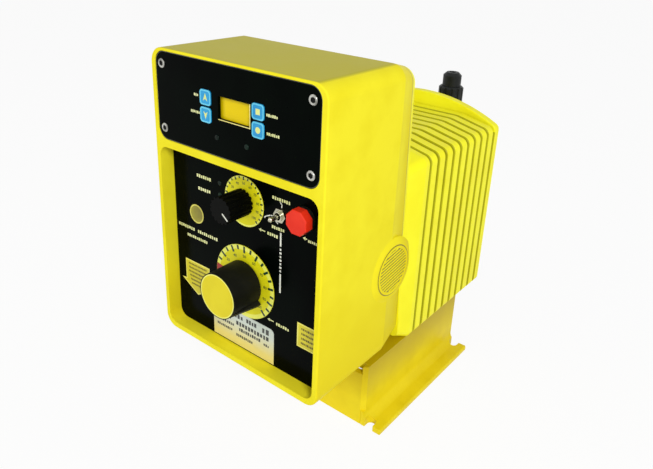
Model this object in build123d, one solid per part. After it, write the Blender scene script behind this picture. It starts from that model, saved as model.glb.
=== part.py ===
from build123d import *
import os
from math import cos, radians, sqrt, tan

# Solenoid-driven diaphragm metering pump, in millimetres.
# Origin: middle of the foot's underside. +Z is up, the control panel faces -Y,
# and +X is to the right of a person who faces the panel.

# ---------------------------------------------------------------- driving dimensions
# Control hood: a deep painted casing, open behind, that carries both front panels.
hood_width = 160.0
hood_height = 229.0
hood_corner = 11.0
hood_wall = 3.0
hood_edge_round = 1.2
hood_side_depth = 81.5
hood_bevel_angle = 14.0
hood_rear_depth = 112.0
hood_rear_lean = 3.9
hood_front = -145.0
hood_base = 66.0

# Recess of the control panel and pocket of the display plate.
recess_side_rim = 4.4
recess_bottom_rim = 5.2
recess_height = 151.6
recess_depth = 11.6
recess_corner = 8.0
panel_thickness = 2.0
panel_ledge = 4.0
panel_ledge_depth = 2.4
display_width = 151.0
display_height = 64.4
display_middle = 195.0
display_corner = 9.0
display_thickness = 2.4
display_setback = 0.6
display_ledge = 4.0
display_post_radius = 5.0

# Round bosses on the hood's sides: a blanking plug right, a cord gland left.
boss_depth = 84.6
boss_height = 76.3
boss_radius = 22.0
boss_skirt = 4.0
boss_rise = 1.6
boss_reach = 12.0
plug_radius = 19.4
plug_thickness = 1.5
gland_stem_radius = 6.0
gland_flats = 19.0
gland_flange_thickness = 5.0
gland_dome_radius = 8.6
gland_dome_length = 14.0
gland_stem_length = 22.0
gland_nut_flats = 18.0
gland_nut_thickness = 4.0
gland_end_round = 3.0
cord_hole_radius = 3.6

# Display, keys and lamps, placed from the hood's middle line and underside.
window_width = 29.0
window_height = 15.4
window_x = 2.0
window_z = 197.7
window_corner = 1.0
lens_thickness = 1.2
module_frame = 2.0
module_depth = 5.0
display_board_width = 118.0
display_board_height = 46.0
display_standoff_radius = 2.5
key_width = 10.5
key_height = 10.6
key_corner = 2.2
key_pitch = 12.0
key_x = 24.3
key_z = 196.2
key_proud = 0.5
key_depth = 2.6
key_stem_radius = 1.6
key_travel = 0.6
lamp_radius = 1.9
lamp_proud = 0.8
lamp_depth = 6.0
display_lamp_x = 14.0
display_lamp_z = 176.6
panel_lamp_x = -24.5
upper_lamp_drop = 19.3
lower_lamp_drop = 28.5
display_screw_side = 7.0
display_screw_end = 8.9

# Stroke control: big knob, shaft and stop, all on the drive axis.
axis_height = 66.0
stroke_dial_radius = 29.4
dial_thickness = 0.5
stroke_dial_bore = 9.6
knob_radius = 17.5
knob_length = 26.2
knob_gap = 0.9
knob_cap_radius = 16.8
knob_cap_thickness = 1.2
knob_rib_angle = -38.0
knob_rib_rise = 3.4
knob_rib_width = 4.0
knob_skirt_bore = 12.0
knob_skirt_depth = 9.0
knob_crown = 6.0
stroke_shaft_radius = 4.0
stroke_bush_radius = 6.0
stroke_bush_flange = 9.0
stroke_bush_flange_thickness = 1.5
stroke_nut_flats = 17.0
stroke_nut_thickness = 4.0
stop_flats = 13.0
stop_length = 32.6
stop_bore_depth = 16.0
stroke_length = 2.0

# Speed control, selector switch and signal socket, placed from the recess's top.
speed_drop = 26.2
speed_dial_radius = 18.8
speed_dial_bore = 6.5
speed_knob_radius = 9.9
speed_knob_length = 21.3
speed_knob_flutes = 16
speed_flute_radius = 1.0
speed_knob_skirt_depth = 6.0
speed_knob_skirt_bore = 6.0
pot_shaft_radius = 3.0
pot_bush_radius = 4.4
pot_bush_proud = 3.4
pot_body_radius = 8.5
pot_body_depth = 10.0
pot_shaft_reach = 6.0
switch_x = 34.6
switch_drop = 25.8
switch_bush_radius = 3.5
switch_bush_proud = 3.6
switch_nut_flats = 9.4
switch_nut_thickness = 2.0
switch_body_size = 12.0
switch_body_depth = 9.0
switch_body_corner = 1.0
switch_pivot_depth = 2.0
switch_throw = 11.0
lever_length = 14.0
lever_radius = 1.25
lever_ball_radius = 1.9
lever_tail_radius = 0.9
lever_tail_length = 4.0
socket_x = 55.5
socket_drop = 21.8
socket_radius = 5.2
socket_bore_radius = 3.4
socket_flange_radius = 8.9
socket_flange_thickness = 2.6
socket_stub = 5.4
socket_tail = 14.0
cap_radius = 9.2
cap_length = 6.6
cap_sides = 8
cap_face = 1.0

# Circuit board on posts behind the control panel.
board_setback = 40.0
board_width = 128.0
board_height = 140.0
board_thickness = 1.6
board_corner = 3.0
board_shaft_hole = 9.0
post_radius = 3.2
post_inset = 4.5

# Finned drive casing.
drive_side_step = 3.2
drive_top = 158.0
drive_bottom = -10.0
drive_slope_width = 32.1
drive_shoulder = 150.7
drive_shoulder_round = 7.0
drive_crown_round = 30.0
drive_low_round = 6.0
flare_step = 4.0
flare_drop = 10.0
flare_length = 21.5
flare_land = 5.0
back_plate_thickness = 4.0
rim_thickness = 2.5
rim_reach = 3.0
groove_count = 10
groove_first = 135.0
groove_pitch = 12.5
groove_width = 3.0
groove_depth = 7.0
fin_edge = 0.8
rear_plate_thickness = 8.5
rear_crest = 170.0
rear_crest_rise = 19.6
gasket_thickness = 1.5
drive_rear_wall = 17.0
drive_cover_thickness = 6.0
housing_screw_side = 20.0
housing_screw_drop = 22.0
housing_post_radius = 5.0
housing_post_length = 26.0

# Solenoid.
coil_radius = 50.0
bobbin_radius = 52.5
bobbin_wall = 2.4
bobbin_flange = 3.0
yoke_wall = 3.4
sleeve_wall = 1.0
armature_radius = 20.0
armature_length = 66.5
armature_gap = 3.5
armature_edge = 1.0
armature_space = 6.0
pole_flange_thickness = 9.0
pole_core_length = 31.0
push_rod_radius = 6.0
push_rod_seat = 12.0
rod_bush_radius = 10.0
rod_bush_length = 18.0
rod_hole_radius = 13.0
backup_seal_thickness = 4.0
spring_wire = 1.0
spring_wire_sides = 6
spring_radius = 9.0
spring_turns = 5
spring_pocket_radius = 11.5
spring_pocket_depth = 20.0

# Liquid end.
spacer_radius = 44.0
spacer_thickness = 24.0
spacer_bore = 25.0
drain_radius = 2.5
diaphragm_radius = 32.0
diaphragm_thickness = 2.5
insert_radius = 15.0
insert_thickness = 3.0
head_plate_thickness = 17.0
head_edge = 1.5
head_chamber_depth = 6.0
barrel_radius = 17.0
barrel_half_length = 52.0
barrel_setback = 24.5
head_rib_reach = 34.0
head_rib_thickness = 4.0
head_rib_pitch = 11.0
head_rib_count = 3
head_rib_tip = 17.0
head_rib_depth = 12.0
head_screw_circle = 37.0
valve_neck_radius = 10.7
valve_neck_length = 22.0
valve_hex_flats = 27.0
valve_hex_length = 22.0
ball_radius = 4.6
ball_lift = 2.0
ball_guide = 1.6
seat_radius = 8.5
seat_bore = 3.4
seat_thickness = 4.0
seal_thickness = 1.2
seal_width = 2.4
flow_radius = 3.0
nut_radius = 12.4
nut_length = 23.0
nut_wall = 1.8
nut_gap = 3.0
nut_end_wall = 6.0
nut_flutes = 12
nut_flute_radius = 1.2
nut_chamfer = 2.5
connector_radius = 9.2
connector_flange_radius = 10.4
connector_flange_thickness = 3.0
connector_length = 14.0
connector_chamfer = 3.0
discharge_bore_radius = 3.3
suction_bore_radius = 4.3

# Foot.
foot_front = 71.0
foot_rear = 219.0
foot_side_step = 3.2
foot_wall = 5.0
foot_deck = 7.0
foot_corner_cut = 3.4
foot_front_drop = 7.0
foot_front_step = 6.0
flange_reach = 17.4
flange_thickness = 5.2
cove_radius = 8.0
slot_width = 8.0
slot_length = 8.0
slot_inset = 11.5
foot_rib = 5.0
foot_rib_drop = 18.0
foot_rib_x = 30.0
foot_screw_x = 40.0
foot_screw_fins = (1, 5)

# Clearances and fasteners.
fit_gap = 0.05
panel_gap = 0.15
moving_gap = 0.3
screw_gap = 0.1
small_screw_radius = 2.0
small_head_radius = 3.7
small_head_height = 2.2
small_screw_length = 9.0
small_socket_flats = 2.5
large_screw_radius = 3.0
large_head_radius = 5.0
large_head_height = 6.0
large_screw_grip = 12.0
large_socket_flats = 5.0
foot_screw_grip = 9.0
screw_end_gap = 1.0
cut_past = 1.0

# ---------------------------------------------------------------- places worked out from them
drive_axis = hood_base + axis_height
recess_top = hood_base + recess_bottom_rim + recess_height
drive_half_width = hood_width / 2 - drive_side_step
drive_flat_half = drive_half_width - drive_slope_width
foot_half_width = drive_half_width - foot_side_step
flange_half_width = foot_half_width + flange_reach
slot_x = flange_half_width - slot_inset
panel_face = hood_front + recess_depth
panel_back = panel_face + panel_thickness
ledge_back = panel_back + panel_ledge_depth
display_face = hood_front + display_setback
display_back = display_face + display_thickness
display_board_front = display_back + module_depth
groove_start = hood_front + groove_first - groove_width / 2
fins_end = groove_start + (groove_count - 1) * groove_pitch + groove_width
drive_rear = fins_end + rear_plate_thickness
bore_rear = drive_rear - drive_rear_wall
pole_front = bore_rear - pole_flange_thickness - pole_core_length
armature_rear = pole_front - armature_gap
armature_front = armature_rear - armature_length
cover_rear = armature_front - armature_space
cover_front = cover_rear - drive_cover_thickness
stop_tip = armature_front - stroke_length - moving_gap
yoke_inner = bobbin_radius + fit_gap
yoke_outer = yoke_inner + yoke_wall
sleeve_outer = armature_radius + fit_gap + sleeve_wall
spacer_rear = drive_rear + spacer_thickness
head_rear = spacer_rear + head_plate_thickness
valve_y = spacer_rear + barrel_setback
socket_radius_valve = valve_neck_radius + fit_gap
foot_front_y = hood_front + foot_front
foot_rear_y = hood_front + foot_rear
foot_top = hood_base + drive_bottom
far = 400.0


# ---------------------------------------------------------------- shared ways of making solids
def facing(y):
    """Plane square to Y at depth y, whose own axes run along +X and +Z."""
    return Plane(origin=(0, y, 0), x_dir=(1, 0, 0), z_dir=(0, -1, 0))


def prism(profile, y_front, y_rear):
    """Solid of one XZ outline between two depths."""
    return extrude(facing(y_rear) * profile, amount=y_rear - y_front)


def disc(radius, y_front, y_rear, x=0.0, z=0.0):
    """Round bar along Y."""
    return prism(Pos(x, z) * Circle(radius), y_front, y_rear)


def tube(outer, inner, y_front, y_rear, x=0.0, z=0.0):
    """Round tube along Y."""
    return prism(Pos(x, z) * (Circle(outer) - Circle(inner)), y_front, y_rear)


def plate(width, height, corner, y_front, y_rear, x=0.0, z=0.0):
    """Rounded rectangular plate square to Y."""
    return prism(Pos(x, z) * RectangleRounded(width, height, corner), y_front, y_rear)


def turned(profile, x=0.0, z=0.0):
    """Solid turned about an axis along Y, from (radius, depth) points."""
    return Pos(x, 0, z) * revolve(Polygon(*profile, align=None), Axis.Y)


def upright_bar(radius, z_low, z_high, x=0.0, y=0.0):
    """Round bar along Z."""
    bar = Cylinder(radius, z_high - z_low, align=(Align.CENTER, Align.CENTER, Align.MIN))
    return Pos(x, y, z_low) * bar


def hexagon(flats):
    """Hexagon given by its size across flats."""
    return RegularPolygon(flats / 2, 6, major_radius=False)


def block(x_low, x_high, y_low, y_high, z_low, z_high):
    """Box between two corners."""
    middle = ((x_low + x_high) / 2, (y_low + y_high) / 2, (z_low + z_high) / 2)
    return Pos(*middle) * Box(x_high - x_low, y_high - y_low, z_high - z_low)


def joined(shapes):
    """One solid from overlapping shapes."""
    total = shapes[0]
    for shape in shapes[1:]:
        total = total + shape
    return total


def corners(half_x, half_z, middle_z):
    """The four (x, z) places of a rectangular pattern."""
    return [(sx * half_x, middle_z + sz * half_z) for sx in (-1, 1) for sz in (-1, 1)]


def socket_screw(radius, head_radius, head_height, length, flats):
    """Socket head screw along Y: its head seats at y = 0 and its shank runs to +Y."""
    screw = disc(radius, 0, length) + disc(head_radius, -head_height, 0)
    return screw - prism(hexagon(flats), -head_height, -head_height / 2)


def small_screw():
    """Small screw that holds the display plate and the hood."""
    return socket_screw(
        small_screw_radius, small_head_radius, small_head_height, small_screw_length, small_socket_flats
    )


# ---------------------------------------------------------------- control hood
def hood_section(depth, inset):
    """Hood outline at a depth behind its front face, inset all round."""
    taper = max(0.0, depth - hood_side_depth) * tan(radians(hood_bevel_angle))
    low = hood_base + inset
    high = hood_base + hood_height - taper - inset
    outline = RectangleRounded(hood_width - 2 * (taper + inset), high - low, hood_corner - inset)
    return facing(hood_front + depth) * Pos(0, (low + high) / 2) * outline


def hood_rear(inset):
    """The bevelled rear of the hood's form, run past the leaning rear plane."""
    end_depth = hood_rear_depth + gasket_thickness + 2 * back_plate_thickness
    return loft([hood_section(hood_side_depth, inset), hood_section(end_depth, inset)], ruled=True)


def hood_form(inset, start_depth=0.0):
    """The hood's whole form: straight sides, then the bevelled rear."""
    straight = extrude(hood_section(hood_side_depth, inset), amount=hood_side_depth - start_depth)
    return straight + hood_rear(inset)


def rear_place(x=0.0, z=0.0):
    """Frame that stands on the hood's leaning rear plane, with its own +Y pointing out of it."""
    lean = radians(hood_rear_lean)
    y = hood_front + hood_rear_depth - (z - hood_base) * tan(lean)
    return Location((x, y, z), (hood_rear_lean, 0, 0))


def rear_slab(start, end):
    """All space between two planes parallel to the hood's rear plane."""
    slab = block(-far, far, start, end, -far, far)
    return rear_place(0, hood_base) * slab


housing_screw_x = hood_width / 2 - housing_screw_side
housing_screw_z = hood_base + hood_height - housing_screw_drop
housing_screw_places = [(-housing_screw_x, housing_screw_z), (housing_screw_x, housing_screw_z)]


def housing_posts(growth):
    """Screw posts inside the hood's rear, each webbed to the side wall beside it."""
    posts = []
    for x, z in housing_screw_places:
        side = 1 if x > 0 else -1
        post = disc(housing_post_radius + growth, -housing_post_length, 0)
        web_x = sorted((0, side * (hood_width / 2 - abs(x))))
        web_half = housing_post_radius / 2 + growth
        web = block(web_x[0], web_x[1], -housing_post_length, 0, -web_half, web_half)
        posts.append(rear_place(x, z) * (post + web))
    return posts


def side_boss(side):
    """Flared round boss on one side wall; side is +1 for right and -1 for left."""
    face = hood_width / 2 + boss_rise
    root = hood_width / 2 - boss_reach
    outline = Polygon(
        (root, 0),
        (face, 0),
        (face, boss_radius),
        (hood_width / 2, boss_radius + boss_skirt),
        (root, boss_radius + boss_skirt),
        align=None,
    )
    boss = revolve(outline, Axis.X)
    if side < 0:
        boss = mirror(boss, about=Plane.YZ)
    return Pos(0, hood_front + boss_depth, hood_base + boss_height) * boss


def sideways_bar(radius, x_low, x_high):
    """Round bar along X on the line of the two side bosses."""
    bar = Cylinder(radius, x_high - x_low, align=(Align.CENTER, Align.CENTER, Align.MIN))
    return Pos(x_low, hood_front + boss_depth, hood_base + boss_height) * Rot(0, 90, 0) * bar


recess_width = hood_width - 2 * recess_side_rim
recess_middle = hood_base + recess_bottom_rim + recess_height / 2
display_z = hood_base + display_middle
display_screw_places = corners(
    display_width / 2 - display_screw_side, display_height / 2 - display_screw_end, display_z
)
plug_seat_x = hood_width / 2 + boss_rise - plug_thickness


def make_control_housing():
    shell = hood_form(0)
    front_edges = shell.faces().sort_by(Axis.Y)[0].edges()
    shell = fillet(front_edges, min(hood_edge_round, hood_wall / 2))
    shell = shell + side_boss(1) + side_boss(-1)
    cavity = hood_form(hood_wall, ledge_back - hood_front)
    for post in housing_posts(0):
        cavity = cavity - post
    shell = shell - cavity - rear_slab(0, far)
    ledge_width = recess_width - 2 * panel_ledge
    ledge_height = recess_height - 2 * panel_ledge
    shell = shell - plate(
        recess_width, recess_height, recess_corner, hood_front - cut_past, panel_back, z=recess_middle
    )
    shell = shell - plate(
        ledge_width, ledge_height, recess_corner / 2, panel_back, ledge_back, z=recess_middle
    )
    shell = shell - plate(
        display_width, display_height, display_corner, hood_front - cut_past, display_back, z=display_z
    )
    opening = plate(
        display_width - 2 * display_ledge,
        display_height - 2 * display_ledge,
        display_corner / 2,
        display_back,
        ledge_back,
        z=display_z,
    )
    for x, z in display_screw_places:
        opening = opening - disc(display_post_radius, display_back, ledge_back, x, z)
    shell = shell - opening
    for x, z in display_screw_places:
        shell = shell - disc(small_screw_radius + screw_gap, display_back, ledge_back, x, z)
    for x, z in housing_screw_places:
        hole = disc(small_screw_radius + screw_gap, -small_screw_length - screw_end_gap, 0)
        shell = shell - rear_place(x, z) * hole
    seat = sideways_bar(plug_radius + panel_gap, plug_seat_x, hood_width)
    entry = sideways_bar(gland_stem_radius + screw_gap, -hood_width, 0)
    return shell - seat - entry


def make_housing_gasket():
    ring = hood_rear(0) - hood_rear(hood_wall)
    for post in housing_posts(0):
        ring = ring + (post & hood_rear(0))
    return ring & rear_slab(0, gasket_thickness)


def make_side_plug():
    return sideways_bar(plug_radius, plug_seat_x, plug_seat_x + plug_thickness)


def make_cable_gland():
    face = -hood_width / 2 - boss_rise
    boss_line = Pos(0, hood_front + boss_depth, hood_base + boss_height)
    flange = extrude(Plane.YZ * hexagon(gland_flats), amount=-gland_flange_thickness)
    gland = boss_line * Pos(face, 0, 0) * flange
    dome_end = face - gland_flange_thickness - gland_dome_length
    gland = gland + sideways_bar(gland_dome_radius, dome_end, face)
    end_edges = gland.faces().sort_by(Axis.X)[0].edges()
    gland = fillet(end_edges, gland_end_round)
    gland = gland + sideways_bar(gland_stem_radius, face, face + gland_stem_length)
    return gland - sideways_bar(cord_hole_radius, dome_end, face + gland_stem_length)


def make_gland_nut():
    inner_wall = -hood_width / 2 + hood_wall
    boss_line = Pos(0, hood_front + boss_depth, hood_base + boss_height)
    reach = (boss_depth + gland_nut_flats - hood_side_depth) * tan(radians(hood_bevel_angle))
    nut = extrude(Plane.YZ * hexagon(gland_nut_flats), amount=gland_nut_thickness)
    nut = boss_line * Pos(inner_wall + reach, 0, 0) * nut
    return nut - sideways_bar(gland_stem_radius + fit_gap, -hood_width, 0)


# ---------------------------------------------------------------- display, keys and lamps
window_place = (window_x, hood_base + window_z)
key_places = {
    "key_up": (-key_x, hood_base + key_z + key_pitch / 2),
    "key_down": (-key_x, hood_base + key_z - key_pitch / 2),
    "key_mode": (key_x, hood_base + key_z + key_pitch / 2),
    "key_enter": (key_x, hood_base + key_z - key_pitch / 2),
}
display_lamps = [(-display_lamp_x, hood_base + display_lamp_z), (display_lamp_x, hood_base + display_lamp_z)]
panel_lamps = [(panel_lamp_x, recess_top - upper_lamp_drop), (panel_lamp_x, recess_top - lower_lamp_drop)]
standoff_places = corners(
    display_board_width / 2 - 2 * display_standoff_radius,
    display_board_height / 2 - 2 * display_standoff_radius,
    display_z,
)


def make_display_panel():
    panel = plate(
        display_width - 2 * panel_gap,
        display_height - 2 * panel_gap,
        display_corner - panel_gap,
        display_face,
        display_back,
        z=display_z,
    )
    for x, z in standoff_places:
        panel = panel + disc(display_standoff_radius, display_back, display_board_front, x, z)
    panel = panel - plate(
        window_width, window_height, window_corner, display_face, display_back, *window_place
    )
    for x, z in key_places.values():
        panel = panel - plate(
            key_width + 2 * moving_gap,
            key_height + 2 * moving_gap,
            key_corner + moving_gap,
            display_face,
            display_back,
            x,
            z,
        )
    for x, z in display_lamps:
        panel = panel - disc(lamp_radius + fit_gap, display_face, display_back, x, z)
    for x, z in display_screw_places:
        panel = panel - disc(small_screw_radius + screw_gap, display_face, display_back, x, z)
    return panel


def make_display_lens():
    width = window_width + module_frame
    height = window_height + module_frame
    return plate(width, height, window_corner, display_back, display_back + lens_thickness, *window_place)


def make_display_module():
    width = window_width + 2 * module_frame
    height = window_height + 2 * module_frame
    module = plate(width, height, window_corner, display_back, display_board_front, *window_place)
    return module - make_display_lens()


def make_display_board():
    return plate(
        display_board_width,
        display_board_height,
        board_corner,
        display_board_front,
        display_board_front + board_thickness,
        z=display_z,
    )


def make_display_screws():
    return [Pos(x, display_face, z) * small_screw() for x, z in display_screw_places]


def make_key(x, z):
    front = display_face - key_proud
    rear = front + key_depth
    cap = plate(key_width, key_height, key_corner, front, rear, x, z)
    stem_end = display_board_front - key_travel - moving_gap
    return cap + disc(key_stem_radius, rear, stem_end, x, z)


def make_indicator_lamps():
    lamps = []
    for face, places in ((display_face, display_lamps), (panel_face, panel_lamps)):
        for x, z in places:
            lamp = disc(lamp_radius, face - lamp_proud, face + lamp_depth, x, z)
            front = lamp.faces().sort_by(Axis.Y)[0].edges()
            lamps.append(fillet(front, min(lamp_proud, lamp_radius / 2)))
    return lamps


# ---------------------------------------------------------------- control panel and its pieces
speed_place = (0.0, recess_top - speed_drop)
switch_place = (switch_x, recess_top - switch_drop)
socket_place = (socket_x, recess_top - socket_drop)
stroke_place = (0.0, drive_axis)
board_front = panel_back + board_setback
post_places = corners(board_width / 2 - post_inset, board_height / 2 - post_inset, recess_middle)


def make_control_panel():
    panel = plate(
        recess_width - 2 * panel_gap,
        recess_height - 2 * panel_gap,
        recess_corner - panel_gap,
        panel_face,
        panel_back,
        z=recess_middle,
    )
    for x, z in post_places:
        panel = panel + disc(post_radius, panel_back, board_front, x, z)
    holes = [
        (stroke_bush_radius, stroke_place),
        (pot_bush_radius, speed_place),
        (switch_bush_radius, switch_place),
        (socket_radius, socket_place),
    ]
    for radius, (x, z) in holes:
        panel = panel - disc(radius + screw_gap, panel_face, panel_back, x, z)
    for x, z in panel_lamps:
        panel = panel - disc(lamp_radius + fit_gap, panel_face, panel_back, x, z)
    return panel


def make_circuit_board():
    board = plate(
        board_width, board_height, board_corner, board_front, board_front + board_thickness, z=recess_middle
    )
    return board - disc(board_shaft_hole, board_front, board_front + board_thickness, *stroke_place)


def make_stroke_dial():
    return tube(stroke_dial_radius, stroke_dial_bore, panel_face - dial_thickness, panel_face, *stroke_place)


def make_speed_dial():
    return tube(speed_dial_radius, speed_dial_bore, panel_face - dial_thickness, panel_face, *speed_place)


def make_stroke_bush():
    flange_front = panel_face - stroke_bush_flange_thickness
    bush = disc(stroke_bush_flange, flange_front, panel_face, *stroke_place)
    bush_end = panel_back + 2 * stroke_nut_thickness
    bush = bush + disc(stroke_bush_radius, flange_front, bush_end, *stroke_place)
    return bush - disc(stroke_shaft_radius + fit_gap, flange_front, bush_end, *stroke_place)


def make_stroke_bush_nut():
    nut_end = panel_back + stroke_nut_thickness
    nut = prism(Pos(*stroke_place) * hexagon(stroke_nut_flats), panel_back, nut_end)
    return nut - disc(stroke_bush_radius + fit_gap, panel_back, nut_end, *stroke_place)


knob_rear = panel_face - dial_thickness - knob_gap
knob_front = knob_rear - knob_length


def make_stroke_knob():
    knob = disc(knob_radius, knob_front, knob_rear)
    rib_side = Polygon(
        (0, knob_rear),
        (0, knob_front),
        (knob_radius, knob_front),
        (knob_radius + knob_rib_rise, knob_rear),
        align=None,
    )
    rib = extrude(rib_side, amount=knob_rib_width / 2, both=True)
    knob = knob + Rot(0, -knob_rib_angle, 0) * rib
    knob = knob - disc(knob_skirt_bore, knob_rear - knob_skirt_depth, knob_rear)
    knob = knob - disc(knob_cap_radius + fit_gap, knob_front, knob_front + knob_cap_thickness)
    knob = knob - disc(stroke_shaft_radius, knob_front + knob_crown, knob_rear)
    return Pos(0, 0, drive_axis) * knob


def make_knob_cap():
    return disc(knob_cap_radius, knob_front, knob_front + knob_cap_thickness, *stroke_place)


def make_stroke_shaft():
    end = stop_tip - stop_length + stop_bore_depth - screw_end_gap
    return disc(stroke_shaft_radius, knob_front + knob_crown, end, *stroke_place)


def make_stroke_stop():
    front = stop_tip - stop_length
    stop = prism(Pos(*stroke_place) * hexagon(stop_flats), front, stop_tip)
    return stop - disc(stroke_shaft_radius + fit_gap, front, front + stop_bore_depth, *stroke_place)


speed_knob_rear = panel_face - dial_thickness - knob_gap
speed_knob_front = speed_knob_rear - speed_knob_length


def make_speed_knob():
    outline = Circle(speed_knob_radius)
    flutes = PolarLocations(speed_knob_radius, speed_knob_flutes) * Circle(speed_flute_radius)
    knob = prism(outline - flutes, speed_knob_front, speed_knob_rear)
    bore_end = speed_knob_rear - speed_knob_skirt_depth
    knob = knob - disc(speed_knob_skirt_bore, bore_end, speed_knob_rear)
    knob = knob - disc(pot_shaft_radius, speed_knob_front + knob_crown, speed_knob_rear)
    return Pos(speed_place[0], 0, speed_place[1]) * knob


def make_pot_shaft():
    return disc(pot_shaft_radius, speed_knob_front + knob_crown, panel_back + pot_shaft_reach, *speed_place)


def make_speed_pot():
    pot = disc(pot_body_radius, panel_back, panel_back + pot_body_depth, *speed_place)
    pot = pot + disc(pot_bush_radius, panel_face - pot_bush_proud, panel_back, *speed_place)
    bore_end = panel_back + pot_shaft_reach + screw_end_gap
    return pot - disc(pot_shaft_radius + fit_gap, panel_face - pot_bush_proud, bore_end, *speed_place)


switch_pivot = panel_face + switch_pivot_depth
switch_mouth = panel_face - switch_bush_proud


def make_toggle_body():
    body = plate(
        switch_body_size,
        switch_body_size,
        switch_body_corner,
        panel_back,
        panel_back + switch_body_depth,
        *switch_place,
    )
    body = body + disc(switch_bush_radius, switch_mouth, panel_back, *switch_place)
    throw = radians(switch_throw)
    mouth_radius = (switch_pivot - switch_mouth) * tan(throw) + lever_radius / cos(throw) + moving_gap
    ball_bore = lever_ball_radius + fit_gap
    tail_end = switch_pivot + lever_tail_length
    tail_bore = lever_tail_length * tan(throw) + lever_tail_radius / cos(throw) + moving_gap
    clear = [
        (0, switch_mouth),
        (mouth_radius, switch_mouth),
        (ball_bore, switch_pivot - lever_ball_radius / 2),
        (ball_bore, switch_pivot + lever_ball_radius / 2),
        (max(tail_bore, ball_bore), tail_end),
        (max(tail_bore, ball_bore), tail_end + screw_end_gap),
        (0, tail_end + screw_end_gap),
    ]
    return body - turned(clear, *switch_place)


def make_toggle_nut():
    nut_front = panel_face - switch_nut_thickness
    nut = prism(Pos(*switch_place) * hexagon(switch_nut_flats), nut_front, panel_face)
    return nut - disc(switch_bush_radius + fit_gap, nut_front, panel_face, *switch_place)


def make_toggle_lever():
    tip = switch_pivot - lever_length
    tip_radius = lever_ball_radius
    tip_middle = tip + tip_radius
    shank = turned(
        [(0, tip_middle), (tip_radius, tip_middle), (lever_radius, switch_pivot), (0, switch_pivot)],
        *switch_place,
    )
    tail = disc(lever_tail_radius, switch_pivot, switch_pivot + lever_tail_length, *switch_place)
    place = (switch_place[0], 0, switch_place[1])
    ball = Pos(*place) * Pos(0, switch_pivot, 0) * Sphere(lever_ball_radius)
    end = Pos(*place) * Pos(0, tip_middle, 0) * Sphere(tip_radius)
    return joined([shank, tail, ball, end])


def make_signal_socket():
    flange_front = panel_face - socket_flange_thickness
    socket = disc(socket_flange_radius, flange_front, panel_face, *socket_place)
    stub_front = flange_front - socket_stub
    socket = socket + disc(socket_radius, stub_front, panel_back + socket_tail, *socket_place)
    return socket - disc(socket_bore_radius, stub_front, panel_face, *socket_place)


def make_connector_cap():
    rear = panel_face - socket_flange_thickness - panel_gap
    front = rear - cap_length
    outline = RegularPolygon(cap_radius, cap_sides, rotation=180 / cap_sides)
    cap = prism(Pos(*socket_place) * outline, front, rear)
    cap = chamfer(cap.faces().sort_by(Axis.Y)[0].edges(), cap_face / 2)
    bore_end = front + cap_face
    return cap - disc(socket_radius + fit_gap, bore_end, rear, *socket_place)


# ---------------------------------------------------------------- finned drive casing
def drive_outline(shrink, drop=0.0):
    """Casing outline: flat crown, sloping shoulders, upright sides; drawn in by shrink."""
    half = drive_half_width - shrink
    low = hood_base + drive_bottom + shrink + drop
    crown = hood_base + drive_top - shrink
    shoulder = hood_base + drive_shoulder - shrink
    outline = Polygon(
        (-half, low),
        (half, low),
        (half, shoulder),
        (drive_flat_half, crown),
        (-drive_flat_half, crown),
        (-half, shoulder),
        align=None,
    )
    by_height = outline.vertices().sort_by(Axis.Y)
    low_corners, shoulders, crowns = by_height[0:2], by_height[2:4], by_height[4:6]
    low_points = [vertex.center() for vertex in low_corners]
    shoulder_points = [vertex.center() for vertex in shoulders]
    outline = fillet(crowns, drive_crown_round)
    outline = fillet(nearest(outline, shoulder_points), drive_shoulder_round)
    return fillet(nearest(outline, low_points), drive_low_round)


def nearest(outline, points):
    """Vertices of an outline that lie at the given points."""
    return [outline.vertices().sort_by_distance(point)[0] for point in points]


def rear_outline():
    """Outline of the rear plate: the casing's, under a wide arched crest."""
    half = drive_half_width
    low = hood_base + drive_bottom
    crest = hood_base + rear_crest
    spring_line = crest - rear_crest_rise
    line = Polyline((-half, spring_line), (-half, low), (half, low), (half, spring_line))
    arch = ThreePointArc((half, spring_line), (0, crest), (-half, spring_line))
    outline = make_face([line, arch])
    return fillet(outline.vertices(), drive_low_round)


def fin_middle(index):
    """Depth of the middle of a fin, counted from the front."""
    return groove_start + groove_width + (groove_pitch - groove_width) / 2 + index * groove_pitch


def edged_plate(outline, y_front, y_rear, edge):
    """Prism of an outline with both rims bevelled."""
    solid = prism(outline, y_front, y_rear)
    rims = solid.edges().filter_by(Axis.Y, reverse=True)
    return chamfer(rims, edge)


def head_screw_places():
    """Places of the four long screws round the drive axis."""
    reach = head_screw_circle / sqrt(2)
    return corners(reach, reach, drive_axis)


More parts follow.
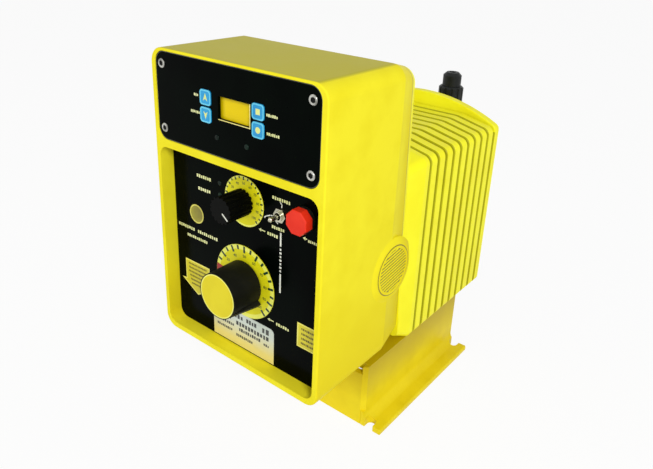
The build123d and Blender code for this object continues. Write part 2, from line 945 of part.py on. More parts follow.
def make_drive_housing():
    flare_rear = groove_start - flare_land
    flare_front = flare_rear - 2 * flare_length
    flare = loft(
        [
            facing(flare_rear) * drive_outline(0),
            facing(flare_front) * drive_outline(2 * flare_step, 2 * (flare_drop - flare_step)),
        ],
        ruled=True,
    )
    behind_plate = rear_slab(gasket_thickness, far)
    casing = flare & behind_plate
    back_plate = hood_rear(0) & rear_slab(gasket_thickness, gasket_thickness + back_plate_thickness)
    casing = casing + back_plate
    casing = casing + prism(drive_outline(0), flare_rear, groove_start)
    casing = casing + prism(drive_outline(groove_depth), flare_rear, fins_end + fin_edge)
    fin = edged_plate(drive_outline(0), groove_start + groove_width, groove_start + groove_pitch, fin_edge)
    for index in range(groove_count - 1):
        casing = casing + Pos(0, index * groove_pitch, 0) * fin
    casing = casing + edged_plate(rear_outline(), fins_end, drive_rear, fin_edge)
    rim_inset = hood_wall + moving_gap
    rim = hood_rear(rim_inset) - hood_rear(rim_inset + rim_thickness)
    rim = rim & rear_slab(-rim_reach, gasket_thickness)
    for post in housing_posts(moving_gap):
        rim = rim - post
    casing = casing + rim
    casing = casing - disc(yoke_outer + fit_gap, -far, bore_rear, *stroke_place)
    casing = casing - disc(rod_hole_radius, bore_rear, drive_rear, *stroke_place)
    for x, z in housing_screw_places:
        hole = disc(small_screw_radius + screw_gap, 0, gasket_thickness + back_plate_thickness + cut_past)
        casing = casing - rear_place(x, z) * hole
    hole_front = drive_rear - large_screw_grip - screw_end_gap
    for x, z in head_screw_places():
        casing = casing - disc(large_screw_radius + fit_gap, hole_front, drive_rear, x, z)
    for x, y in foot_screw_places():
        hole_top = foot_top + foot_screw_grip + screw_end_gap
        casing = casing - upright_bar(small_screw_radius + fit_gap, foot_top - cut_past, hole_top, x, y)
    return casing


def make_housing_screws():
    seat = gasket_thickness + back_plate_thickness
    screw = Pos(0, seat, 0) * Rot(0, 0, 180) * small_screw()
    return [rear_place(x, z) * screw for x, z in housing_screw_places]


# ---------------------------------------------------------------- solenoid
def make_drive_cover():
    cover = disc(yoke_outer, cover_front, cover_rear, *stroke_place)
    guide = prism(Pos(*stroke_place) * hexagon(stop_flats + 2 * fit_gap), cover_front, cover_rear)
    return cover - guide


def make_coil_yoke():
    return tube(yoke_outer, yoke_inner, cover_rear, bore_rear - pole_flange_thickness, *stroke_place)


def make_coil_bobbin():
    front = cover_rear
    rear = bore_rear - pole_flange_thickness
    bore = sleeve_outer + fit_gap
    hub = bore + bobbin_wall
    profile = [
        (bore, front),
        (bobbin_radius, front),
        (bobbin_radius, front + bobbin_flange),
        (hub, front + bobbin_flange),
        (hub, rear - bobbin_flange),
        (bobbin_radius, rear - bobbin_flange),
        (bobbin_radius, rear),
        (bore, rear),
    ]
    return turned(profile, *stroke_place)


def make_coil_winding():
    front = cover_rear + bobbin_flange
    rear = bore_rear - pole_flange_thickness - bobbin_flange
    inner = sleeve_outer + fit_gap + bobbin_wall
    return tube(coil_radius, inner, front, rear, *stroke_place)


def make_guide_sleeve():
    inner = armature_radius + fit_gap
    return tube(sleeve_outer, inner, cover_rear, bore_rear - pole_flange_thickness, *stroke_place)


def make_pole_piece():
    flange_front = bore_rear - pole_flange_thickness
    pole = disc(yoke_outer, flange_front, bore_rear, *stroke_place)
    pole = pole + disc(armature_radius, pole_front, flange_front, *stroke_place)
    pole = pole - disc(push_rod_radius + moving_gap, pole_front, bore_rear, *stroke_place)
    return pole - disc(rod_bush_radius + fit_gap, bore_rear - rod_bush_length, bore_rear, *stroke_place)


def make_rod_bush():
    inner = push_rod_radius + fit_gap
    return tube(rod_bush_radius, inner, bore_rear - rod_bush_length, bore_rear, *stroke_place)


spring_floor = armature_rear - spring_pocket_depth


def make_armature():
    armature = disc(armature_radius, armature_front, armature_rear)
    armature = chamfer(armature.edges(), armature_edge)
    armature = armature - disc(spring_pocket_radius, spring_floor, armature_rear)
    armature = armature - disc(push_rod_radius, spring_floor - push_rod_seat, spring_floor)
    return Pos(0, 0, drive_axis) * armature


def make_push_rod():
    end = spacer_rear - insert_thickness
    return disc(push_rod_radius, spring_floor - push_rod_seat, end, *stroke_place)


def make_return_spring():
    start = spring_floor + spring_wire
    height = pole_front - spring_wire - start
    coil = Helix(height / spring_turns, height, spring_radius, direction=(0, 1, 0))
    section = Plane(origin=coil @ 0, z_dir=coil % 0) * RegularPolygon(spring_wire, spring_wire_sides)
    return Pos(0, start, drive_axis) * sweep(section, path=coil, is_frenet=True)


def make_backup_seal():
    front = bore_rear
    seal = tube(rod_hole_radius, push_rod_radius + fit_gap, front, front + backup_seal_thickness)
    return Pos(0, 0, drive_axis) * seal


# ---------------------------------------------------------------- liquid end
def make_spacer_ring():
    ring = tube(spacer_radius, spacer_bore, drive_rear, spacer_rear, *stroke_place)
    for x, z in head_screw_places():
        ring = ring - disc(large_screw_radius + screw_gap, drive_rear, spacer_rear, x, z)
    middle = (drive_rear + spacer_rear) / 2
    return ring - upright_bar(drain_radius, drive_axis - spacer_radius, drive_axis, 0, middle)


def make_diaphragm():
    return disc(diaphragm_radius, spacer_rear, spacer_rear + diaphragm_thickness, *stroke_place)


def make_diaphragm_insert():
    return disc(insert_radius, spacer_rear - insert_thickness, spacer_rear, *stroke_place)


def make_pump_head():
    head = disc(spacer_radius, spacer_rear, head_rear, *stroke_place)
    head = chamfer(head.faces().sort_by(Axis.Y)[-1].edges(), head_edge)
    top = drive_axis + barrel_half_length
    bottom = drive_axis - barrel_half_length
    barrel = upright_bar(barrel_radius, bottom, top, 0, valve_y)
    barrel = chamfer(barrel.edges(), head_edge)
    head = head + barrel
    rib_outline = Polygon(
        (-head_rib_reach, head_rear),
        (head_rib_reach, head_rear),
        (head_rib_tip / 2, valve_y + head_rib_depth),
        (-head_rib_tip / 2, valve_y + head_rib_depth),
        align=None,
    )
    rib = extrude(rib_outline, amount=head_rib_thickness / 2, both=True)
    for index in range(head_rib_count):
        height = (index - (head_rib_count - 1) / 2) * head_rib_pitch
        head = head + Pos(0, 0, drive_axis + height) * rib
    chamber_rear = spacer_rear + diaphragm_thickness + head_chamber_depth
    seat_rear = spacer_rear + diaphragm_thickness
    head = head - disc(diaphragm_radius + fit_gap, spacer_rear, seat_rear, *stroke_place)
    chamber = turned(
        [(0, seat_rear), (spacer_bore, seat_rear), (spacer_bore / 2, chamber_rear), (0, chamber_rear)],
        *stroke_place,
    )
    head = head - chamber
    head = head - disc(flow_radius, chamber_rear - cut_past, valve_y, *stroke_place)
    floor = barrel_half_length - valve_neck_length
    head = head - upright_bar(flow_radius, drive_axis - floor, drive_axis + floor, 0, valve_y)
    head = head - upright_bar(socket_radius_valve, drive_axis + floor, top, 0, valve_y)
    head = head - upright_bar(socket_radius_valve, bottom, drive_axis - floor, 0, valve_y)
    for x, z in head_screw_places():
        head = head - disc(large_screw_radius + screw_gap, spacer_rear, head_rear, x, z)
    return head


def make_head_screws():
    length = head_plate_thickness + spacer_thickness + large_screw_grip
    screw = socket_screw(
        large_screw_radius, large_head_radius, large_head_height, length, large_socket_flats
    )
    screw = Rot(0, 0, 180) * screw
    return [Pos(x, head_rear, z) * screw for x, z in head_screw_places()]


class ValveSide:
    """Heights of one check valve; side is +1 for the discharge on top, -1 for the suction below."""

    def __init__(self, side, tube_bore_radius):
        self.side = side
        self.tube_bore_radius = tube_bore_radius
        self.socket_floor = self.height(barrel_half_length - valve_neck_length)
        self.neck_start = self.height(barrel_half_length - valve_neck_length + seal_thickness)
        self.hex_start = self.height(barrel_half_length)
        self.hex_end = self.height(barrel_half_length + valve_hex_length)
        self.nut_start = self.height(barrel_half_length + valve_hex_length + nut_gap)
        self.nut_end = self.height(barrel_half_length + valve_hex_length + nut_gap + nut_length)
        self.flange_end = self.nut_end - side * nut_end_wall
        self.spigot_end = self.flange_end - side * connector_flange_thickness
        self.connector_end = self.nut_end + side * connector_length
        self.body_low = min(self.neck_start, self.spigot_end)
        self.body_high = max(self.neck_start, self.spigot_end)
        self.seat_top = self.body_low + seat_thickness
        ball_rise = sqrt(ball_radius ** 2 - seat_bore ** 2)
        self.ball_middle = self.seat_top + ball_rise + moving_gap
        self.ball_stop = self.ball_middle + ball_radius + ball_lift + moving_gap

    def height(self, distance):
        """Height of a place at a distance from the drive axis on this side."""
        return drive_axis + self.side * distance

    def bar(self, radius, start, end):
        """Round upright bar on the valve line between two heights, in either order."""
        return upright_bar(radius, min(start, end), max(start, end), 0, valve_y)

    def hexagonal_bar(self, flats, start, end):
        """Hexagonal upright bar on the valve line."""
        bar = extrude(hexagon(flats), amount=abs(end - start))
        return Pos(0, valve_y, min(start, end)) * bar

    def body(self):
        """Cartridge: neck in the head, hexagon, and spigot that carries the coupling nut."""
        spigot_radius = nut_radius - nut_wall - fit_gap
        body = self.bar(valve_neck_radius, self.neck_start, self.hex_start)
        body = body + self.hexagonal_bar(valve_hex_flats, self.hex_start, self.hex_end)
        body = body + self.bar(spigot_radius, self.hex_end, self.spigot_end)
        body = body - self.bar(seat_radius + fit_gap, self.body_low, self.seat_top)
        body = body - self.bar(ball_radius + ball_guide, self.seat_top, self.ball_stop)
        body = body - self.bar(flow_radius, self.ball_stop, self.body_high)
        slot_half = flow_radius / 2
        slot_reach = ball_radius + ball_guide / 2
        for angle in (0, 90):
            slot = block(-slot_reach, slot_reach, -slot_half, slot_half, 0, ball_lift)
            body = body - Pos(0, valve_y, self.ball_stop) * Rot(0, 0, angle) * slot
        return body

    def seat(self):
        """Ring that the ball closes on."""
        ring = self.bar(seat_radius, self.body_low, self.seat_top)
        return ring - self.bar(seat_bore, self.body_low, self.seat_top)

    def ball(self):
        """Ball, just clear of its seat."""
        return Pos(0, valve_y, self.ball_middle) * Sphere(ball_radius)

    def seal(self):
        """Flat ring between the cartridge's neck and the floor of its socket."""
        ring = self.bar(valve_neck_radius, self.socket_floor, self.neck_start)
        return ring - self.bar(valve_neck_radius - seal_width, self.socket_floor, self.neck_start)

    def nut(self):
        """Fluted coupling nut with a chamfered shoulder."""
        outline = Circle(nut_radius) - PolarLocations(nut_radius, nut_flutes) * Circle(nut_flute_radius)
        low = min(self.nut_start, self.nut_end)
        nut = Pos(0, valve_y, low) * extrude(outline, amount=nut_length)
        nut = nut - self.bar(nut_radius - nut_wall, self.nut_start, self.flange_end)
        nut = nut - self.bar(connector_radius + screw_gap, self.flange_end, self.nut_end)
        cone_radius = nut_radius + cut_past
        cone_height = nut_chamfer + cut_past
        middle_low = (Align.CENTER, Align.CENTER, Align.MIN)
        cone = Cone(cone_radius, cone_radius - cone_height, cone_height, align=middle_low)
        keep_height = nut_length - nut_chamfer
        keep = upright_bar(cone_radius, 0, keep_height) + Pos(0, 0, keep_height) * cone
        if self.side > 0:
            keep = Pos(0, valve_y, self.nut_start) * keep
        else:
            keep = Pos(0, valve_y, self.nut_start) * Rot(180, 0, 0) * keep
        return nut & keep

    def connector(self):
        """Tube connector that the coupling nut clamps, open at its outer end."""
        stem = self.bar(connector_radius, self.spigot_end, self.connector_end)
        ends = stem.faces().sort_by(Axis.Z)
        outer = ends[-1] if self.side > 0 else ends[0]
        stem = chamfer(outer.edges(), connector_chamfer)
        stem = stem + self.bar(connector_flange_radius, self.spigot_end, self.flange_end)
        return stem - self.bar(self.tube_bore_radius, self.spigot_end, self.connector_end)


# ---------------------------------------------------------------- foot
def foot_screw_places():
    """Places of the screws that hold the drive casing down, under the middles of fins."""
    return [(x, fin_middle(index)) for x in (-foot_screw_x, foot_screw_x) for index in foot_screw_fins]


def foot_plan(inset):
    """Outline of the foot's walls seen from above."""
    half = foot_half_width - inset
    front = foot_front_y + inset
    rear = foot_rear_y - inset
    outline = Polygon((-half, front), (half, front), (half, rear), (-half, rear), align=None)
    front_corners = outline.vertices().sort_by(Axis.Y)[0:2]
    return chamfer(front_corners, foot_corner_cut)


def side_flange(side):
    """Flat flange along one side, joined to the wall by a concave cove."""
    wall = foot_half_width - foot_wall / 2
    face = foot_half_width
    line = Polyline(
        (wall, 0),
        (flange_half_width, 0),
        (flange_half_width, flange_thickness),
        (face + cove_radius, flange_thickness),
    )
    cove = RadiusArc(
        (face + cove_radius, flange_thickness), (face, flange_thickness + cove_radius), cove_radius
    )
    cove_top = flange_thickness + cove_radius
    back = Polyline((face, cove_top), (wall, cove_top), (wall, 0))
    flange = prism(make_face([line, cove, back]), foot_front_y, foot_rear_y)
    edge = flange.edges().filter_by(Axis.Y).sort_by(Axis.X)[-2:]
    flange = fillet(edge, flange_thickness / 4)
    if side < 0:
        flange = mirror(flange, about=Plane.YZ)
    return flange


def slot_cut(x, y_end, inward):
    """Open-ended slot in a flange's edge; inward is +1 from the front and -1 from the rear."""
    top = flange_thickness + cove_radius + cut_past
    middle = y_end + inward * (slot_length - slot_width / 2)
    y_low, y_high = sorted((y_end - inward * cut_past, middle))
    straight = block(x - slot_width / 2, x + slot_width / 2, y_low, y_high, -cut_past, top)
    return straight + upright_bar(slot_width / 2, -cut_past, top, x, middle)


def make_pedestal():
    foot = extrude(foot_plan(0), amount=foot_top)
    foot = foot - extrude(foot_plan(foot_wall), amount=foot_top - foot_deck)
    rib_low = foot_rib_drop
    rib_high = foot_top - foot_deck / 2
    inner = foot_half_width - foot_wall / 2
    for x in (-foot_rib_x, foot_rib_x):
        foot = foot + block(
            x - foot_rib / 2,
            x + foot_rib / 2,
            foot_front_y + foot_wall / 2,
            foot_rear_y - foot_wall / 2,
            rib_low,
            rib_high,
        )
    middle_y = (foot_front_y + foot_rear_y) / 2
    foot = foot + block(-inner, inner, middle_y - foot_rib / 2, middle_y + foot_rib / 2, rib_low, rib_high)
    drop_half = foot_half_width - foot_corner_cut
    foot = foot - block(
        -drop_half,
        drop_half,
        foot_front_y - cut_past,
        foot_front_y + foot_front_step,
        foot_top - foot_front_drop,
        foot_top + cut_past,
    )
    foot = foot + side_flange(1) + side_flange(-1)
    for x in (-slot_x, slot_x):
        foot = foot - slot_cut(x, foot_front_y, 1) - slot_cut(x, foot_rear_y, -1)
    for x, y in foot_screw_places():
        foot = foot - upright_bar(small_screw_radius + screw_gap, rib_low, foot_top, x, y)
    return foot


def make_pedestal_screws():
    seat = foot_top - foot_deck
    length = foot_deck + foot_screw_grip
    screw = socket_screw(
        small_screw_radius, small_head_radius, small_head_height, length, small_socket_flats
    )
    return [Pos(x, y, seat) * Rot(90, 0, 0) * screw for x, y in foot_screw_places()]


# ---------------------------------------------------------------- every node, made and written
suction = ValveSide(-1, suction_bore_radius)
discharge = ValveSide(1, discharge_bore_radius)

nodes = {
    "control_housing": make_control_housing(),
    "housing_gasket": make_housing_gasket(),
    "side_plug": make_side_plug(),
    "cable_gland": make_cable_gland(),
    "display_panel": make_display_panel(),
    "display_lens": make_display_lens(),
    "display_module": make_display_module(),
    "circuit_boards": [make_display_board(), make_circuit_board()],
    "cover_screws": make_display_screws() + make_housing_screws(),
    "indicator_lamps": make_indicator_lamps(),
    "control_panel": make_control_panel(),
    "stroke_dial": make_stroke_dial(),
    "speed_dial": make_speed_dial(),
    "stroke_bush": make_stroke_bush(),
    "inner_nuts": [make_stroke_bush_nut(), make_gland_nut()],
    "stroke_knob": make_stroke_knob(),
    "knob_cap": make_knob_cap(),
    "stroke_shaft": make_stroke_shaft(),
    "stroke_stop": make_stroke_stop(),
    "speed_knob": make_speed_knob(),
    "pot_shaft": make_pot_shaft(),
    "speed_pot": make_speed_pot(),
    "toggle_body": make_toggle_body(),
    "toggle_nut": make_toggle_nut(),
    "toggle_lever": make_toggle_lever(),
    "signal_socket": make_signal_socket(),
    "connector_cap": make_connector_cap(),
    "drive_housing": make_drive_housing(),
    "drive_cover": make_drive_cover(),
    "coil_yoke": make_coil_yoke(),
    "coil_bobbin": make_coil_bobbin(),
    "coil_winding": make_coil_winding(),
    "guide_sleeve": make_guide_sleeve(),
    "pole_piece": make_pole_piece(),
    "rod_bush": make_rod_bush(),
    "armature": make_armature(),
    "push_rod": make_push_rod(),
    "return_spring": make_return_spring(),
    "backup_seal": make_backup_seal(),
    "spacer_ring": make_spacer_ring(),
    "diaphragm": make_diaphragm(),
    "diaphragm_insert": make_diaphragm_insert(),
    "pump_head": make_pump_head(),
    "head_screws": make_head_screws(),
    "pedestal": make_pedestal(),
    "pedestal_screws": make_pedestal_screws(),
}
for name, (x, z) in key_places.items():
    nodes[name] = make_key(x, z)
for prefix, valve in (("suction", suction), ("discharge", discharge)):
    nodes[prefix + "_valve_body"] = valve.body()
    nodes[prefix + "_ball"] = valve.ball()
    nodes[prefix + "_nut"] = valve.nut()
    nodes[prefix + "_connector"] = valve.connector()
nodes["valve_seats"] = [suction.seat(), discharge.seat()]
nodes["valve_seals"] = [suction.seal(), discharge.seal()]

os.makedirs("parts", exist_ok=True)
for name, shape in nodes.items():
    solid = Compound(children=shape) if isinstance(shape, list) else shape
    export_step(solid, "parts/" + name + ".step")
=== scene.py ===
from math import cos, hypot, pi, radians, sin

import bmesh
import bpy
from mathutils import Matrix, Vector


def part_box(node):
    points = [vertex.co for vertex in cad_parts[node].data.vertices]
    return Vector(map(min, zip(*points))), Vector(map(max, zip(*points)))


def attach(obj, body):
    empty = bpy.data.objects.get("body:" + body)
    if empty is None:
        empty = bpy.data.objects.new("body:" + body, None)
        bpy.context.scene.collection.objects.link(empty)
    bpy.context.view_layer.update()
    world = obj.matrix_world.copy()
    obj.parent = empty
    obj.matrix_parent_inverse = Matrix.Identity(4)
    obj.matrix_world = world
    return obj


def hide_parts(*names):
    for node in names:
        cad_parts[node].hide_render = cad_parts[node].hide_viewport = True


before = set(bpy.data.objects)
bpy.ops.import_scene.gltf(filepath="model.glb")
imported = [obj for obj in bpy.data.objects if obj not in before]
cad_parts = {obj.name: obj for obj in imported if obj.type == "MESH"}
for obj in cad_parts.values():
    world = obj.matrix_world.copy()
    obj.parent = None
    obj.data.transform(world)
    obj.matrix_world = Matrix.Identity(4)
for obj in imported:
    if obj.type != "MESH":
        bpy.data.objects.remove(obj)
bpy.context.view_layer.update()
mm = 0.001

# ---------------------------------------------------------------- foot
# The foot is a hollow iron casting, brushed with the same yellow enamel as the rest.
# Screws up through its deck hold the drive casing, and four open slots take bolts.


def linear(red, green, blue):
    """Shader colour of a finish given as it is seen, 0 to 255."""
    return tuple((channel / 255) ** 2.2 for channel in (red, green, blue)) + (1.0,)


def node_to(material, kind, **inputs):
    """Adds a shader node and sets its constants; spaces in socket names are written as _."""
    node = material.node_tree.nodes.new(kind)
    for name, value in inputs.items():
        node.inputs[name.replace("_", " ")].default_value = value
    return node


def ramp(owner, value, start, full, **ends):
    """Runs a socket's value, from start to full, onto 0 to 1 or onto the ends given."""
    node = node_to(owner, "ShaderNodeMapRange", From_Min=start, From_Max=full, **ends)
    owner.node_tree.links.new(value, node.inputs["Value"])
    return node.outputs["Result"]


def tint(owner, share, first, colour):
    """Mixes a fixed colour over another socket's colour by a share."""
    node = node_to(owner, "ShaderNodeMix")
    node.data_type = "RGBA"
    node.inputs[7].default_value = linear(*colour)
    owner.node_tree.links.new(share, node.inputs[0])
    owner.node_tree.links.new(first, node.inputs[6])
    return node.outputs[2]


def finish_material(name, light, dark, rough, grain, bump, metal=0.0, sheen=0.5):
    """Procedural finish: colour and roughness drift between two values, over a fine grain."""
    material = bpy.data.materials.new(name)
    material.use_nodes = True
    links = material.node_tree.links
    shader = material.node_tree.nodes["Principled BSDF"]
    shader.inputs["Metallic"].default_value = metal
    shader.inputs["Specular IOR Level"].default_value = sheen
    place = node_to(material, "ShaderNodeTexCoord")
    drift = node_to(material, "ShaderNodeTexNoise", Scale=grain / 12, Detail=4.0)
    links.new(place.outputs["Object"], drift.inputs["Vector"])
    blend = node_to(material, "ShaderNodeMix")
    blend.data_type = "RGBA"
    blend.inputs[6].default_value = linear(*dark)
    blend.inputs[7].default_value = linear(*light)
    links.new(ramp(material, drift.outputs["Fac"], 0.35, 0.6), blend.inputs[0])
    links.new(blend.outputs[2], shader.inputs["Base Color"])
    dull = ramp(material, drift.outputs["Fac"], 0.0, 1.0, To_Min=rough * 0.85, To_Max=rough * 1.15)
    links.new(dull, shader.inputs["Roughness"])
    fine = node_to(material, "ShaderNodeTexNoise", Scale=grain, Detail=3.0)
    links.new(place.outputs["Object"], fine.inputs["Vector"])
    relief = node_to(material, "ShaderNodeBump", Strength=bump, Distance=mm / 4)
    links.new(fine.outputs["Fac"], relief.inputs["Height"])
    links.new(relief.outputs["Normal"], shader.inputs["Normal"])
    return material


def wear(*nodes, material):
    """Gives carried-over CAD nodes their finish."""
    for name in nodes:
        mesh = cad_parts[name].data
        for slot in range(len(mesh.materials)):
            mesh.materials[slot] = material


def painted(material):
    """A finish's colour so far, and the place on the piece as x, y and z."""
    shader = material.node_tree.nodes["Principled BSDF"]
    place = node_to(material, "ShaderNodeTexCoord")
    split = node_to(material, "ShaderNodeSeparateXYZ")
    material.node_tree.links.new(place.outputs["Object"], split.inputs["Vector"])
    return shader.inputs["Base Color"].links[0].from_socket, split.outputs


def repainted(material, colour):
    """The finish, with its colour taken from a socket."""
    shader = material.node_tree.nodes["Principled BSDF"]
    material.node_tree.links.new(colour, shader.inputs["Base Color"])
    return material


def shade_foot(material):
    """Paints shade on the foot's walls towards the casing that overhangs them, where its shadow falls."""
    paint, place = painted(material)
    near = ramp(material, place["Z"], foot_top - foot_shade_reach, foot_top, To_Max=0.8)
    return repainted(material, tint(material, near, paint, foot_shade))


foot_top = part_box("pedestal")[1].z
foot_shade = (176, 150, 8)
foot_shade_reach = 34 * mm
# The foot's enamel is a darker copy of the hood's yellow, as painted shade.
shaded_foot_enamel = finish_material(
    "shaded_foot_enamel", light=(238, 216, 34), dark=(228, 204, 26),
    rough=0.42, grain=420, bump=0.35, sheen=0.15)
screw_steel = finish_material(
    "screw_steel", light=(190, 190, 186), dark=(160, 160, 156), rough=0.3, grain=900, bump=0.1, metal=1.0)
wear("pedestal", material=shade_foot(shaded_foot_enamel))
wear("pedestal_screws", "head_screws", "push_rod", "return_spring", material=screw_steel)

# ---------------------------------------------------------------- drive casing and solenoid
# The casing is cast with ten deep grooves round the coil, and sprayed in bright enamel.
# Inside it are the steel magnet path, the wound coil and the plunger.
# The casing's enamel is a brighter copy of the hood's yellow, as painted light.
lit_casing_enamel = finish_material(
    "lit_casing_enamel", light=(255, 250, 44), dark=(250, 242, 36), rough=0.4, grain=360, bump=0.3, sheen=0.12)
magnet_steel = finish_material(
    "magnet_steel", light=(150, 150, 152), dark=(120, 120, 124), rough=0.38, grain=700, bump=0.15, metal=1.0)
bobbin_plastic = finish_material(
    "bobbin_plastic", light=(168, 156, 128), dark=(150, 138, 110), rough=0.55, grain=600, bump=0.2)
brass = finish_material(
    "brass", light=(206, 172, 92), dark=(184, 150, 74), rough=0.28, grain=800, bump=0.1, metal=1.0)
facing_white = finish_material(
    "facing_white", light=(226, 226, 218), dark=(214, 214, 206), rough=0.45, grain=500, bump=0.1)
groove_front, groove_pitch, groove_width = -11.5 * mm, 12.5 * mm, 3.0 * mm
groove_count = 10
groove_end = groove_front + (groove_count - 1) * groove_pitch + groove_width
groove_slack = 0.05 * mm
fin_chamfer = 0.7 * mm
groove_shade = 0.48
end_plate_unshaded_above = 212 * mm


def reckon(owner, operation, first, second=0.0):
    """One sum on two values, each a socket or a number."""
    node = node_to(owner, "ShaderNodeMath")
    node.operation = operation
    for entry, value in zip(node.inputs, (first, second)):
        if hasattr(value, "links"):
            owner.node_tree.links.new(value, entry)
        else:
            entry.default_value = value
    return node.outputs[0]


def dimmed(material, colour, share):
    """A socket's colour, scaled by a share."""
    node = node_to(material, "ShaderNodeVectorMath")
    node.operation = "SCALE"
    material.node_tree.links.new(colour, node.inputs[0])
    material.node_tree.links.new(share, node.inputs["Scale"])
    return node.outputs["Vector"]


def shade_grooves(material):
    """Paints shade into the grooves between fins, darkening them where shadow falls."""
    paint, place = painted(material)
    run = reckon(material, "SUBTRACT", place["Y"], groove_front - groove_slack)
    run = reckon(material, "DIVIDE", run, groove_pitch)
    open_share = (groove_width + fin_chamfer + groove_slack) / groove_pitch
    within = reckon(material, "LESS_THAN", reckon(material, "FRACT", run), open_share)
    started = reckon(material, "GREATER_THAN", run)
    before = reckon(material, "LESS_THAN", place["Y"], groove_end - groove_slack)
    low = reckon(material, "LESS_THAN", place["Z"], end_plate_unshaded_above)
    flank = reckon(material, "LESS_THAN", place["Y"], groove_end + fin_chamfer)
    reach = reckon(material, "MAXIMUM", before, reckon(material, "MULTIPLY", low, flank))
    within = reckon(material, "MULTIPLY", reckon(material, "MULTIPLY", within, started), reach)
    shade = ramp(material, within, 0.0, 1.0, To_Min=1.0, To_Max=groove_shade)
    return repainted(material, dimmed(material, paint, shade))


wear("drive_housing", material=shade_grooves(lit_casing_enamel))
wear("drive_cover", "coil_yoke", "pole_piece", "armature", "diaphragm_insert", material=magnet_steel)
wear("coil_bobbin", material=bobbin_plastic)
wear("guide_sleeve", "rod_bush", "inner_nuts", "stroke_bush", material=brass)
wear("diaphragm", material=facing_white)


def wound_copper():
    """Varnished wire: bands round the coil's own axis."""
    material = finish_material(
        "wound_copper", light=(186, 98, 54), dark=(150, 72, 38), rough=0.3, grain=500, bump=0.1, metal=1.0)
    links = material.node_tree.links
    place = node_to(material, "ShaderNodeTexCoord")
    turns = node_to(material, "ShaderNodeTexWave", Scale=160.0)
    turns.bands_direction = "Y"
    links.new(place.outputs["Object"], turns.inputs["Vector"])
    relief = node_to(material, "ShaderNodeBump", Strength=0.8, Distance=mm / 2)
    links.new(turns.outputs["Fac"], relief.inputs["Height"])
    links.new(relief.outputs["Normal"], material.node_tree.nodes["Principled BSDF"].inputs["Normal"])
    return material


wear("coil_winding", material=wound_copper())

# ---------------------------------------------------------------- liquid end
# Head, valve cartridges, coupling nuts and tube connectors are moulded in black plastic.
# Each check valve has a ground ceramic ball on a ceramic seat, with rubber seals.
black_plastic = finish_material(
    "black_plastic", light=(36, 38, 37), dark=(24, 26, 25), rough=0.45, grain=650, bump=0.25, sheen=0.2)
ceramic = finish_material(
    "ceramic", light=(232, 229, 216), dark=(222, 218, 203), rough=0.18, grain=900, bump=0.05)
rubber = finish_material(
    "rubber", light=(30, 30, 30), dark=(18, 18, 18), rough=0.7, grain=500, bump=0.3, sheen=0.2)
wear("spacer_ring", "pump_head", "speed_pot", "display_module", "cable_gland", material=black_plastic)
for side in ("suction", "discharge"):
    wear(side + "_valve_body", side + "_nut", side + "_connector", material=black_plastic)
    wear(side + "_ball", material=ceramic)
wear("valve_seats", material=ceramic)
wear("valve_seals", "backup_seal", material=rubber)

# ---------------------------------------------------------------- control hood
# The hood is one deep casting in bright yellow enamel, open behind and screwed there to
# the drive casing's front plate. Its mouth frames both front panels.
hood_enamel = finish_material(
    "hood_enamel", light=(246, 233, 50), dark=(239, 224, 42), rough=0.34, grain=380, bump=0.3, sheen=0.02)
painted_gasket = finish_material(
    "painted_gasket", light=(206, 188, 30), dark=(178, 160, 24), rough=0.5, grain=300, bump=0.4)


def weather_hood(material):
    """Paints shade on the hood: its top darker, its right-facing sides deeper low down, and all of it deeper
    towards the rear.
    """
    paint, place = painted(material)
    surface = node_to(material, "ShaderNodeNewGeometry")
    facing = node_to(material, "ShaderNodeSeparateXYZ")
    material.node_tree.links.new(surface.outputs["Normal"], facing.inputs["Vector"])
    low = ramp(material, place["Z"], low_side_shade_from, low_side_shade_full)
    side = reckon(material, "MULTIPLY", reckon(material, "MAXIMUM", facing.outputs["X"]), low)
    rear = ramp(material, place["Y"], rear_shade_from, rear_shade_full, To_Max=rear_shade_share)
    flat = ramp(material, facing.outputs["Z"], flat_from, flat_full)
    top_shade = reckon(material, "MULTIPLY", flat, ramp(material, place["Z"], top_shade_from, top_shade_full))
    paint = tint(material, side, paint, low_side_shade_colour)
    paint = tint(material, rear, paint, rear_shade_colour)
    return repainted(material, tint(material, top_shade, paint, top_shade_colour))


hood_low, hood_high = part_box("control_housing")
# Painted shade: with the colours below the hood's right-facing sides deepen low down, all of it deepens
# towards the rear, and its top is darker.
low_side_shade_colour = (232, 212, 36)
low_side_shade_from, low_side_shade_full = 170 * mm, 75 * mm
rear_shade_colour = (226, 206, 26)
rear_shade_from, rear_shade_full = hood_high.y - 24 * mm, hood_high.y - 8 * mm
rear_shade_share = 0.75
top_shade_colour = (192, 182, 46)
top_shade_from, top_shade_full = 260 * mm, 270 * mm
flat_from, flat_full = 0.93, 0.99
wear("control_housing", material=weather_hood(hood_enamel))
wear("housing_gasket", material=painted_gasket)

# ---------------------------------------------------------------- side plug
# A pressed disc closes the boss on the right, its face knurled with fine slanting lines
# inside a plain rim. It snaps into the boss and carries the same enamel.
# Painted shade: the plug's body, seen between the knurl's ridges, and the ring in the gap round it are dark
# olive, for the shadow in the valleys and the gap.
plug_valley_shade = finish_material(
    "plug_valley_shade", light=(146, 130, 20), dark=(118, 104, 12), rough=0.5, grain=500, bump=0.3)
wear("side_plug", material=plug_valley_shade)
plug_low, plug_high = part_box("side_plug")
plug_middle = (plug_low + plug_high) / 2
plug_radius = (plug_high.z - plug_low.z) / 2
plug_rim = 2.4 * mm
plug_ridge_pitch = 2.6 * mm
plug_ridge_half = 0.27 * plug_ridge_pitch
plug_ridge_rise = 0.35 * mm
plug_ridge_slant = radians(9)
plug_gap_width = 0.9 * mm
plug_gap_rise = 0.06 * mm


